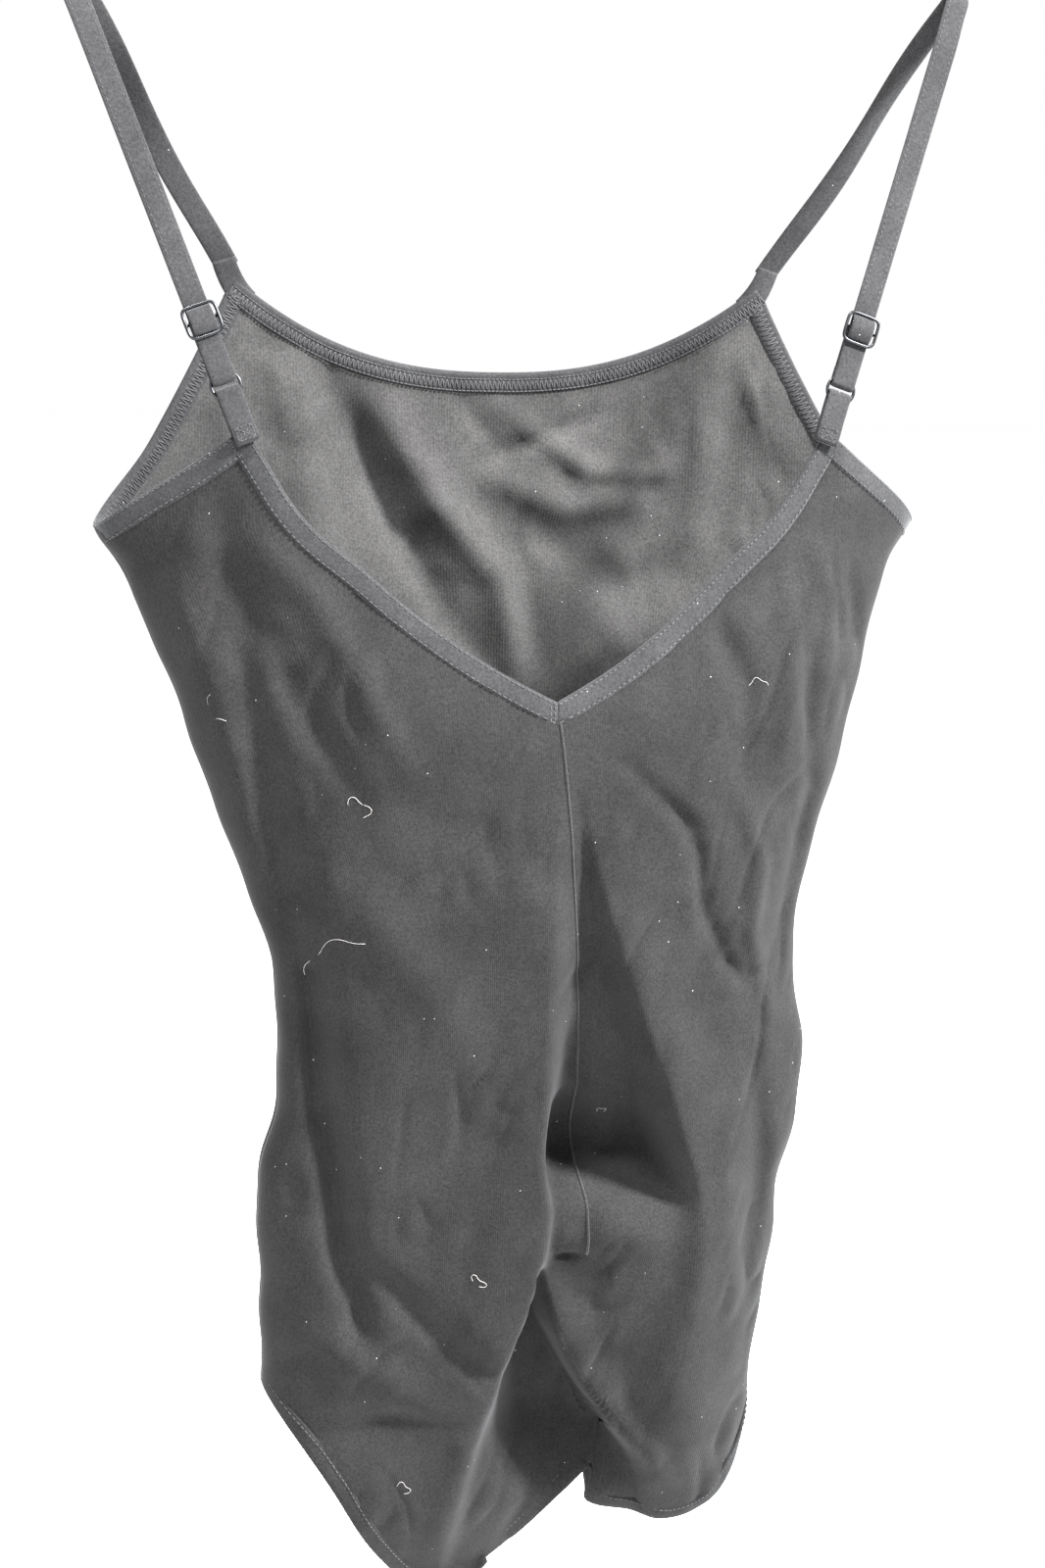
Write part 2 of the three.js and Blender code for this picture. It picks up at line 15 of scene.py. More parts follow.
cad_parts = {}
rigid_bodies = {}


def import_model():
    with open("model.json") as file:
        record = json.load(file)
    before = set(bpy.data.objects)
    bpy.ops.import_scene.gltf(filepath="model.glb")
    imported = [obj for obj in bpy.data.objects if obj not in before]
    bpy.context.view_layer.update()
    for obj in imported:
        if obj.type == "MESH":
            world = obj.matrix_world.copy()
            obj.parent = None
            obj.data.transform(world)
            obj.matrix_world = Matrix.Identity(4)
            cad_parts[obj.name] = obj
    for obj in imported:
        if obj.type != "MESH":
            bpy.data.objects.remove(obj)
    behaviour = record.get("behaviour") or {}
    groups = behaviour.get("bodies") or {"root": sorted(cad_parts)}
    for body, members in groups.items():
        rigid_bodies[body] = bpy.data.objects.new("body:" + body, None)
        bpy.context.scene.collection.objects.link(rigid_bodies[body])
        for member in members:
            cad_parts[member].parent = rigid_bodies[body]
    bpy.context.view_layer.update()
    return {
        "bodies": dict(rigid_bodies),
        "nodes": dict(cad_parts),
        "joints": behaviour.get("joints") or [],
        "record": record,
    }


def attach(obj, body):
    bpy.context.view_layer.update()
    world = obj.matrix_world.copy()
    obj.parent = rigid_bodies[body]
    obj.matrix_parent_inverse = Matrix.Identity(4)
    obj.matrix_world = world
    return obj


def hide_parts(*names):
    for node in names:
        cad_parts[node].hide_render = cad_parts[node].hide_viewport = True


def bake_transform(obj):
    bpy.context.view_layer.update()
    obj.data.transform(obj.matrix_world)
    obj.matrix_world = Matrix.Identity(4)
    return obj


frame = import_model()
joints = {joint["name"]: joint for joint in frame["joints"]}

# %% [markdown]
# ## Where things hang
# The joints already know the places that matter: a strap swings about the corner of the neckline, a slider
# runs along the back of its strap, and a ring turns about its own middle. Reading them from the frame means
# that no place is typed twice. Everything is worked out for the wearer's left, and mirrored for the right.

# %% Places taken from the joints
NECK_CORNER = Vector(joints["strap_left_swing"]["pos_m"])
RING_MIDDLE = Vector(joints["ring_left_turn"]["pos_m"])
RUN_UP = Vector(joints["slider_left_slide"]["axis"]).normalized()
RUN_OUT = Vector(joints["ring_left_turn"]["axis"]).normalized()
RING_ABOVE_CORNER = 0.019
BACK_CORNER = RING_MIDDLE - RUN_UP * RING_ABOVE_CORNER
RUN_ACROSS = RUN_UP.cross(RUN_OUT).normalized()
if RUN_ACROSS.x < 0:
    RUN_ACROSS.negate()
SIDES = {"left": 1, "right": -1}
print("neck corner", NECK_CORNER[:], "back corner", BACK_CORNER[:])

# %% [markdown]
# ## The camera
# The leotard is seen from behind, a little above its middle and a little to its left, with a long lens that
# keeps the straps and the hem the same size. The camera is made first, so that every later step can be
# looked at.

# %% Camera
CAMERA_PLACE = Vector((0.277, 1.0607, -0.1523))
CAMERA_TARGET = Vector((0.0021, 0.0, -0.3477))
CAMERA_ROLL = math.radians(0.75)
lens = bpy.data.cameras.new("camera")
lens.sensor_width = 36
lens.lens = 57.15
camera = bpy.data.objects.new("camera", lens)
bpy.context.collection.objects.link(camera)
look = (CAMERA_TARGET - CAMERA_PLACE).to_track_quat("-Z", "Y").to_matrix().to_4x4()
camera.matrix_world = Matrix.Translation(CAMERA_PLACE) @ look @ Matrix.Rotation(CAMERA_ROLL, 4, "Z")
bpy.context.scene.camera = camera
print("camera at", CAMERA_PLACE[:])

# %% [markdown]
# ## Smooth curves through a few points
# A pattern cutter draws an outline through a few measured points with a French curve. This helper does the
# same: it takes (key, value) pairs and gives a function that passes smoothly through them. Hermite curves
# are used because they never swing far past the points, as a high polynomial would.

# %% A French curve
def french_curve(pairs):
    keys, values = (np.array(column, float) for column in zip(*sorted(pairs)))
    slopes = np.gradient(values, keys)

    def value(at):
        at = np.clip(np.asarray(at, float), keys[0], keys[-1])
        i = np.clip(np.searchsorted(keys, at, side="right") - 1, 0, len(keys) - 2)
        span = keys[i + 1] - keys[i]
        t = (at - keys[i]) / span
        return (
            (2 * t**3 - 3 * t**2 + 1) * values[i]
            + (t**3 - 2 * t**2 + t) * span * slopes[i]
            + (3 * t**2 - 2 * t**3) * values[i + 1]
            + (t**3 - t**2) * span * slopes[i + 1]
        )

    return value


def smoothstep(x, low, high):
    t = np.clip((np.asarray(x, float) - low) / (high - low), 0, 1)
    return t * t * (3 - 2 * t)


print("half way up a soft step", float(smoothstep(0.5, 0, 1)))

# %% [markdown]
# ## The hanging body
# An empty leotard is a flattened tube. Its outline is wide at the chest, narrow at the waist and full at
# the hips, and the two sides don't hang quite alike, because the cloth is soft. Between the side seams the
# cloth stands off by a few centimetres, front and back.

# %% Outline and depth of the tube
LEFT_SIDE = french_curve([(-0.20, 0.186), (-0.237, 0.186), (-0.249, 0.177), (-0.264, 0.171), (-0.300, 0.157),
                          (-0.345, 0.142), (-0.378, 0.130), (-0.437, 0.114), (-0.477, 0.114), (-0.515, 0.121),
                          (-0.560, 0.122), (-0.615, 0.120), (-0.72, 0.119)])
RIGHT_SIDE = french_curve([(-0.20, 0.186), (-0.234, 0.183), (-0.247, 0.174), (-0.262, 0.168), (-0.307, 0.154),
                           (-0.352, 0.140), (-0.398, 0.127), (-0.430, 0.123), (-0.470, 0.130),
                           (-0.505, 0.129), (-0.535, 0.122), (-0.570, 0.122), (-0.628, 0.117),
                           (-0.72, 0.115)])
SEAM_Y = french_curve([(-0.12, -0.020), (-0.232, -0.020), (-0.315, -0.005), (-0.427, 0.008),
                       (-0.556, 0.002), (-0.626, -0.005), (-0.72, -0.005)])
FRONT_DEPTH = french_curve([(-0.12, 0.044), (-0.232, 0.044), (-0.315, 0.047), (-0.427, 0.040),
                            (-0.556, 0.036), (-0.626, 0.026), (-0.69, 0.010), (-0.72, 0.005)])
BACK_DEPTH = french_curve([(-0.19, 0.053), (-0.232, 0.053), (-0.315, 0.055), (-0.427, 0.038), (-0.556, 0.036),
                           (-0.626, 0.034), (-0.69, 0.020), (-0.72, 0.005)])
FRONT, BACK = -1, 1
SECTION_POWER = 2.4


def depth_share(share):
    return np.clip(1 - np.abs(share) ** SECTION_POWER, 0, 1) ** (1 / SECTION_POWER)


def half_width(share, z):
    z = np.asarray(z, float)
    loose = smoothstep(-z, 0.25, 0.30) * (1 - smoothstep(-z, 0.66, 0.70))
    ripple = np.sin(z * 131) * np.sin(z * 37 + 1) * 0.0009 + np.sin(z * 71 + 2) * 0.0006
    other = np.sin(z * 103 + 2) * np.sin(z * 41) * 0.0010
    return np.where(share >= 0, LEFT_SIDE(z) + ripple * loose, RIGHT_SIDE(z) + other * loose)


print("half width at the waist, left and right", half_width(np.array([1, -1]), -0.437).round(4))


# %% [markdown]
# ## The cut edges
# The front has a scooped neckline between two corners, and from each corner the armhole falls to the side.
# The back has a V with bowed sides. Each edge is a formula of the share across the cloth, from -1 at the
# right side seam to 1 at the left one, so that neckline, armholes and cloth always agree.

# %% Necklines, armholes and hems
NECK = {"corner_x": 0.122, "corner_z": -0.127, "middle_z": -0.167, "power": 2.4, "straight": 0.0}
BACK_V = {"corner_x": 0.129, "corner_z": -0.190, "middle_z": -0.304, "power": 2.7, "straight": 0.48}
CHEST_HALF = 0.186
UNDERARM_Z = -0.232
BINDING_WIDTH = 0.0098
EDGE_INSIDE = 0.0015  # from the top of a binding's fold down to the cloth's cut edge
CORNER_SHARE = {FRONT: NECK["corner_x"] / CHEST_HALF, BACK: BACK_V["corner_x"] / CHEST_HALF}


def top_edge(side, share):
    cut = NECK if side == FRONT else BACK_V
    corner = CORNER_SHARE[side]
    s = np.abs(share)
    inner = np.minimum(s / corner, 1)
    rise = (1 - cut["straight"]) * inner ** cut["power"] + cut["straight"] * inner
    neckline = cut["middle_z"] + (cut["corner_z"] - cut["middle_z"]) * rise
    out = np.clip((s - corner) / (1 - corner), 0, 1)
    fall = 1 - (1 - out) ** 1.25 if side == FRONT else out
    armhole = cut["corner_z"] + (UNDERARM_Z - cut["corner_z"]) * fall
    return np.where(s <= corner, neckline, armhole) - EDGE_INSIDE


BACK_HEM_X = french_curve([(-1, -0.112), (-0.92, -0.106), (-0.82, -0.096), (-0.70, -0.076), (-0.58, -0.052),
                           (-0.51, -0.031), (-0.465, -0.035), (-0.38, -0.012), (-0.28, 0.006), (0.28, 0.056),
                           (0.42, 0.070), (0.70, 0.094), (1, 0.120)])
BACK_HEM_Z = french_curve([(-1, -0.640), (-0.92, -0.664), (-0.82, -0.690), (-0.70, -0.702), (-0.58, -0.698),
                           (-0.51, -0.690), (-0.465, -0.674), (-0.38, -0.694), (-0.28, -0.713),
                           (0.28, -0.722), (0.42, -0.704), (0.70, -0.662), (1, -0.622)])
FRONT_HEM_X = french_curve([(-1, -0.112), (-0.7, -0.074), (-0.45, -0.030), (-0.28, 0.006), (0.28, 0.056),
                            (0.42, 0.066), (0.70, 0.090), (1, 0.120)])
FRONT_HEM_Z = french_curve([(-1, -0.640), (-0.7, -0.656), (-0.45, -0.680), (-0.28, -0.713), (0.28, -0.722),
                            (0.42, -0.700), (0.70, -0.655), (1, -0.622)])
print("V point at", round(float(top_edge(BACK, 0.0)), 4))
print("front neckline at", round(float(top_edge(FRONT, 0.0)), 4))

# %% [markdown]
# ## Folds
# Jersey buckles where it has length to spare. A fold is written as a line on the cloth with a width and a
# height, and one function adds up all of them. A positive height stands out from the body, and a negative
# one sinks into it.

# %% Soft folds along lines
def along_line(x, z, points):
    """How far each point is from a line of points, and how far along it, from 0 to 1."""
    best = np.full(x.shape, 1e3)
    where = np.zeros(x.shape)
    for i, ((x0, z0), (x1, z1)) in enumerate(zip(points, points[1:])):
        dx, dz = x1 - x0, z1 - z0
        t = np.clip(((x - x0) * dx + (z - z0) * dz) / (dx * dx + dz * dz), 0, 1)
        away = np.hypot(x - x0 - t * dx, z - z0 - t * dz)
        where = np.where(away < best, (i + t) / (len(points) - 1), where)
        best = np.minimum(best, away)
    return best, where


def fold(x, z, points, width, height):
    away, where = along_line(x, z, points)
    ends = np.sin(np.pi * np.clip(0.08 + 0.84 * where, 0, 1)) ** 0.6
    return height * np.exp(-((away / width) ** 2)) * ends


middle = fold(np.array(0.0), np.array(-0.5), [(0, -0.4), (0, -0.6)], 0.01, 1.0)
print("share of its height that a fold has at its middle", round(float(middle), 3))

# %% [markdown]
# ## Where the folds lie
# Each fold is a short line of places on the cloth, a width and a height. A height above nought is a roll that
# stands out from the body, and one below it is a hollow.

# %% The folds of the back and the front
MM = 0.001
BACK_FOLDS = [
    # the left side: long soft rolls from the armhole down to the hip
    ([(0.142, -0.215), (0.128, -0.300), (0.112, -0.385), (0.100, -0.470)], 8 * MM, -5.0 * MM),
    ([(0.160, -0.250), (0.143, -0.320), (0.124, -0.400)], 7 * MM, 4.0 * MM),
    ([(0.102, -0.425), (0.096, -0.490), (0.088, -0.550), (0.080, -0.590)], 7 * MM, -11.0 * MM),
    ([(0.088, -0.548), (0.062, -0.574), (0.030, -0.606), (0.014, -0.616)], 7 * MM, -4.0 * MM),
    ([(0.104, -0.590), (0.070, -0.610), (0.040, -0.640)], 9 * MM, 3.0 * MM),
    ([(0.100, -0.640), (0.060, -0.632), (0.030, -0.640)], 6 * MM, -2.6 * MM),
    ([(0.122, -0.240), (0.100, -0.262), (0.082, -0.300), (0.064, -0.330)], 8 * MM, 3.6 * MM),
    ([(0.126, -0.262), (0.110, -0.300), (0.084, -0.345)], 7 * MM, -3.0 * MM),
    ([(0.030, -0.640), (0.038, -0.680), (0.042, -0.712)], 7 * MM, 2.4 * MM),
    ([(0.060, -0.352), (0.030, -0.362), (0.004, -0.378)], 10 * MM, -2.0 * MM),
    ([(0.098, -0.380), (0.060, -0.420), (0.030, -0.470)], 14 * MM, 2.6 * MM),
    # the right side: short wavy rolls beside the channel
    ([(-0.030, -0.330), (-0.050, -0.350), (-0.066, -0.362)], 4 * MM, -2.4 * MM),
    ([(-0.070, -0.262), (-0.088, -0.300), (-0.086, -0.350)], 6 * MM, -3.0 * MM),
    ([(-0.108, -0.240), (-0.112, -0.290), (-0.106, -0.340)], 6 * MM, 2.6 * MM),
    ([(-0.054, -0.350), (-0.066, -0.372), (-0.070, -0.400), (-0.084, -0.425)], 4 * MM, -3.4 * MM),
    ([(-0.084, -0.345), (-0.098, -0.380), (-0.094, -0.410), (-0.106, -0.450)], 5 * MM, 3.2 * MM),
    ([(-0.078, -0.420), (-0.090, -0.432), (-0.100, -0.428)], 4 * MM, -2.4 * MM),
    ([(-0.120, -0.290), (-0.124, -0.350), (-0.112, -0.420)], 6 * MM, -3.2 * MM),
    ([(-0.098, -0.470), (-0.106, -0.520), (-0.102, -0.575)], 7 * MM, -4.0 * MM),
    ([(-0.142, -0.250), (-0.152, -0.290), (-0.140, -0.325)], 6 * MM, -3.0 * MM),
    ([(-0.085, -0.500), (-0.090, -0.560), (-0.095, -0.620)], 8 * MM, 2.4 * MM),
]
FRONT_FOLDS = [
    ([(0.088, -0.150), (0.066, -0.190), (0.048, -0.235), (0.026, -0.275), (0.004, -0.310)], 9 * MM, 6.0 * MM),
    ([(0.098, -0.165), (0.088, -0.230), (0.060, -0.300)], 12 * MM, -5.0 * MM),
    ([(0.056, -0.180), (0.032, -0.222), (0.000, -0.262), (-0.014, -0.312)], 9 * MM, -7.0 * MM),
    ([(0.004, -0.208), (-0.018, -0.198), (-0.046, -0.186)], 4.5 * MM, 4.5 * MM),
    ([(0.000, -0.216), (-0.032, -0.229), (-0.066, -0.224)], 8 * MM, -5.0 * MM),
    ([(0.008, -0.174), (-0.012, -0.190), (-0.044, -0.212), (-0.080, -0.214)], 5 * MM, -4.0 * MM),
    ([(-0.020, -0.244), (-0.055, -0.268), (-0.090, -0.255)], 11 * MM, 4.5 * MM),
    ([(-0.012, -0.262), (-0.018, -0.300), (-0.010, -0.340)], 8 * MM, 5.0 * MM),
    ([(-0.104, -0.145), (-0.100, -0.200), (-0.092, -0.250)], 8 * MM, -4.0 * MM),
    ([(0.022, -0.172), (0.012, -0.186), (0.000, -0.200)], 4 * MM, 3.0 * MM),
    ([(0.128, -0.180), (0.118, -0.215), (0.104, -0.245)], 8 * MM, -4.0 * MM),
    ([(0.040, -0.420), (0.000, -0.500), (-0.030, -0.600)], 16 * MM, 4.0 * MM),
    ([(0.080, -0.360), (0.060, -0.450), (0.052, -0.560)], 14 * MM, -3.0 * MM),
    ([(-0.060, -0.360), (-0.070, -0.450), (-0.060, -0.560)], 14 * MM, -3.0 * MM),
]
print("folds on the back", len(BACK_FOLDS), "and on the front", len(FRONT_FOLDS))

# %% [markdown]
# ## The channel at the small of the back
# One fold is too big for a line. Its left edge stands up and hangs over a deep channel, which ends on a
# shelf where the centre seam stops in a small tuck. Under the shelf the cloth falls into a wedge between
# the two halves of the seat, and the right half bulges out over it.

# %% Channel, seat and tuck
LEFT_RIDGE = french_curve([(-0.335, -0.002), (-0.371, 0.002), (-0.433, 0.003), (-0.500, 0.004),
                           (-0.561, 0.008), (-0.616, 0.019), (-0.663, 0.032), (-0.722, 0.040)])
RIGHT_RIDGE = french_curve([(-0.330, -0.010), (-0.380, -0.020), (-0.435, -0.037), (-0.500, -0.060),
                            (-0.537, -0.071), (-0.591, -0.067), (-0.660, -0.050), (-0.722, -0.040)])
CHANNEL_DEPTH = french_curve([(-0.325, 0), (-0.360, 0.006), (-0.410, 0.013), (-0.470, 0.021), (-0.516, 0.029),
                              (-0.527, 0.008), (-0.540, 0.002), (-0.560, 0.003), (-0.600, 0.006),
                              (-0.660, 0.004), (-0.705, 0.0), (-0.722, 0)])


def channel(x, z):
    left, right = LEFT_RIDGE(z), RIGHT_RIDGE(z)
    t = (left - x) / np.maximum(left - right, 0.008)
    steep = 0.0135 - 0.0075 * smoothstep(-z, 0.42, 0.54)
    wall = 1 - np.exp(-((np.maximum(t, 0) * (left - right) / steep) ** 2))
    far = (1 - 0.35 * np.clip(t, 0, 1)) * (1 - smoothstep(t, 0.76, 1.04))
    hollow = -CHANNEL_DEPTH(z + 0.011 * np.clip(t, 0, 1)) * wall * far * (t > 0)
    crest_fade = smoothstep(-z, 0.34, 0.42) * (1 - 0.8 * smoothstep(-z, 0.57, 0.66))
    crest = 0.008 * crest_fade * np.where(x > left, np.exp(-(((x - left) / 0.030) ** 2)), 1)
    crest = crest * (1 - wall * (t > 0))
    far_crest = 0.0075 * smoothstep(-z, 0.37, 0.47) * (1 - smoothstep(-z, 0.56, 0.63))
    far_crest = far_crest * np.exp(-(((x - right + 0.004) / np.where(x > right - 0.004, 0.009, 0.020)) ** 2))
    return hollow + crest + far_crest


CHEEK_EDGE = french_curve([(-0.545, 0.010), (-0.575, 0.002), (-0.605, -0.011), (-0.640, -0.030),
                           (-0.665, -0.046), (-0.722, -0.060)])


def seat(x, z):
    """Under the tuck the cloth falls into a wedge, and the right half of the seat bulges out over it."""
    left, right = LEFT_RIDGE(z), CHEEK_EDGE(z)
    t = (left - x) / np.maximum(left - right, 0.004)
    deep = 0.030 * smoothstep(-z, 0.553, 0.590) * (1 - 0.75 * smoothstep(-z, 0.640, 0.690))
    wedge = -deep * smoothstep(t, -0.05, 0.55) * smoothstep(x - right, -0.0060, -0.0005)
    dome = 0.015 * np.exp(-(((x + 0.066) / 0.036) ** 2 + ((z + 0.628) / 0.056) ** 2))
    lip = 0.004 * np.exp(-(((x - right + 0.010) / 0.008) ** 2)) * smoothstep(-z, 0.560, 0.600)
    lip = lip * (1 - smoothstep(-z, 0.650, 0.690))
    shelf = 0.007 * np.exp(-(((x + 0.040) / 0.024) ** 2 + ((z + 0.547) / 0.013) ** 2))
    return wedge + dome + lip + shelf


def notch(x, z):
    """The small tuck where the centre back seam stops."""
    return -0.004 * np.exp(-(((x + 0.012) / 0.006) ** 2 + ((z + 0.557) / 0.0022) ** 2))


print("channel's greatest depth", round(float(-channel(np.array(-0.02), np.array(-0.51))), 4))


# %% [markdown]
# ## From share and height to a place
# This is the leotard's whole surface in one function. A panel's grid, the bindings on its edges and the
# stitches all ask it for their places, so they always lie on the same cloth. Small random creases come
# last. They are made from noise that is stretched along the body, because hanging jersey creases
# lengthwise.

# %% The cloth's surface
def waves(x, z, seed):
    """Smooth noise from -1 to 1, made from a fixed set of random slopes on a unit grid."""
    slopes = np.random.default_rng(seed).uniform(-1, 1, (64, 64, 2))
    i, j = np.floor(x).astype(int), np.floor(z).astype(int)
    u, v = x - i, z - j
    total = 0
    for di in (0, 1):
        for dj in (0, 1):
            slope = slopes[(i + di) % 64, (j + dj) % 64]
            weight = (1 - np.abs(u - di)) ** 2 * (1 + 2 * np.abs(u - di)) * (1 - np.abs(v - dj)) ** 2
            weight = weight * (1 + 2 * np.abs(v - dj))
            total = total + weight * (slope[..., 0] * (u - di) + slope[..., 1] * (v - dj))
    return total * 1.6


def crumple(x, z, side):
    a, b = x * 1000, z * 1000
    bend_a, bend_b = 9 * waves(a / 60, b / 70, 3), 9 * waves(a / 55, b / 60, 4)
    a, b = a + bend_a, b + bend_b
    slow = waves(a / 46, b / 120, 10 + side)
    lean = waves((a + 0.45 * b) / 26, (b - 0.3 * a) / 70, 20 + side)
    other = waves((a - 0.55 * b) / 24, (b + 0.3 * a) / 64, 30 + side)
    crease = np.exp(-((waves((a + 0.2 * b) / 38, b / 85, 40 + side) / 0.075) ** 2))
    where = smoothstep(waves(a / 70, b / 60, 50 + side), -0.15, 0.35)
    crinkle = 1 - np.abs(waves((a + 0.3 * b) / 15, (b - 0.3 * a) / 30, 70 + side)) * 3.2
    broken = smoothstep(waves(a / 38, b / 44, 80 + side), -0.05, 0.30)
    fine = waves(a / 8, b / 14, 60 + side)
    busy = np.where(x < 0, 1.0, 0.75)
    rolls = 1.5 * lean + 1.5 * other * where - 1.5 * crease * where - 1.25 * np.clip(crinkle, -1, 1) * broken
    return (3.2 * slow + busy * rolls + 0.16 * fine) * MM


def cloth(side, share, up):
    """Places on a panel: share runs from side seam to side seam, up from the hem (0) to the top edge (1)."""
    share, up = np.broadcast_arrays(np.asarray(share, float), np.asarray(up, float))
    hem_x, hem_z = (BACK_HEM_X, BACK_HEM_Z) if side == BACK else (FRONT_HEM_X, FRONT_HEM_Z)
    z = hem_z(share) + (top_edge(side, share) - hem_z(share)) * up
    at_hem = hem_x(share) - share * half_width(share, hem_z(share))
    x = share * half_width(share, z) + at_hem * np.clip(1 - up / 0.45, 0, 1) ** 2
    depth = (BACK_DEPTH if side == BACK else FRONT_DEPTH)(z)
    y = SEAM_Y(z) + side * depth * depth_share(share)
    free = smoothstep(1 - np.abs(share), 0.0, 0.12)
    calm = 0.15 + 0.85 * smoothstep(1 - up, 0.0, 0.08)
    folds = sum(fold(x, z, *one) for one in (BACK_FOLDS if side == BACK else FRONT_FOLDS))
    if side == BACK:
        folds = folds + channel(x, z) + seat(x, z) + notch(x, z)
        lean = np.exp(-(((x - LEFT_RIDGE(z)) / 0.010) ** 2)) * smoothstep(-z, 0.50, 0.54)
        x = x - 0.004 * lean * (1 - smoothstep(-z, 0.57, 0.61))
        over = np.exp(-(((x - CHEEK_EDGE(z) + 0.007) / 0.008) ** 2)) * smoothstep(-z, 0.575, 0.60)
        x = x + 0.003 * over * (1 - smoothstep(-z, 0.62, 0.66))
    y = y + side * (folds + crumple(x, z, side)) * free * calm
    return np.stack([x, y, z], axis=-1)


print("middle of the back at half height", cloth(BACK, 0.0, 0.5).round(4))


# %% [markdown]
# ## A panel of jersey
# The cloth starts as a flat grid, as it would in the editor. Every vertex is then carried to its place on
# the hanging surface, and a Solidify modifier gives it the thickness of jersey. Its UV map is close to the
# flat cut in metres, so that the knit's columns follow the cloth and not the room.

# %% Making a panel
JERSEY_THICK = 0.0009
CLOSER_AT_SIDES = 0.96  # how strongly the columns crowd towards the side seams, below 1
MEAN_HALF_WIDTH = 0.15


def new_piece(name, bm, material, smooth=True):
    for face in bm.faces:
        face.smooth = smooth
    mesh = bpy.data.meshes.new(name)
    bm.to_mesh(mesh)
    bm.free()
    piece = bpy.data.objects.new(name, mesh)
    bpy.context.collection.objects.link(piece)
    piece.data.materials.append(material)
    return piece


def thicken(piece, thick):
    solid = piece.modifiers.new("thickness", "SOLIDIFY")
    solid.thickness = thick
    solid.offset = 0
    return piece


def panel(name, side, columns, rows, material):
    bm = bmesh.new()
    bmesh.ops.create_grid(bm, x_segments=columns, y_segments=rows, size=0.5, calc_uvs=True)
    flat = np.array([v.co for v in bm.verts])
    share = np.sin(np.pi * flat[:, 0] * CLOSER_AT_SIDES) / math.sin(math.pi * CLOSER_AT_SIDES / 2)
    up = flat[:, 1] + 0.5
    places = cloth(side, share, up)
    for v, place in zip(bm.verts, places):
        v.co = place
    bm.verts.index_update()
    knit = bm.loops.layers.uv.verify()
    height = (top_edge(side, share) - (BACK_HEM_Z if side == BACK else FRONT_HEM_Z)(share)) * up
    for face in bm.faces:
        for loop in face.loops:
            i = loop.vert.index
            loop[knit].uv = (share[i] * MEAN_HALF_WIDTH, height[i])
    if side == FRONT:
        bmesh.ops.reverse_faces(bm, faces=bm.faces)
    area = sum(face.calc_area() for face in bm.faces)
    print(name, "verts", len(bm.verts), "area m2", round(area, 4))
    return thicken(new_piece(name, bm, material), JERSEY_THICK)


# %% [markdown]
# ## Shading black cloth
# Black jersey is really a dark grey that picks up a soft sheen at grazing angles. Three things make it read
# as cloth: fine upright knit columns, slow patches where the pile lies differently, and a little pale lint.
# The columns read the panel's own UV map, which is close to metres, and the rest reads the object's
# coordinates.

# %% Cloth materials
def shader(name, rough, metallic=0.0):
    material = bpy.data.materials.new(name)
    material.use_nodes = True
    tree = material.node_tree
    surface = next(n for n in tree.nodes if n.type == "BSDF_PRINCIPLED")
    surface.inputs["Roughness"].default_value = rough
    surface.inputs["Metallic"].default_value = metallic

    def node(kind, inputs=(), **settings):
        made = tree.nodes.new("ShaderNode" + kind)
        for key, value in settings.items():
            setattr(made, key, value)
        for socket, value in dict(inputs).items():
            if isinstance(value, bpy.types.NodeSocket):
                tree.links.new(value, made.inputs[socket])
            else:
                made.inputs[socket].default_value = value
        return made

    return material, surface, tree, node


LINT_COLOUR = (0.42, 0.42, 0.43, 1)


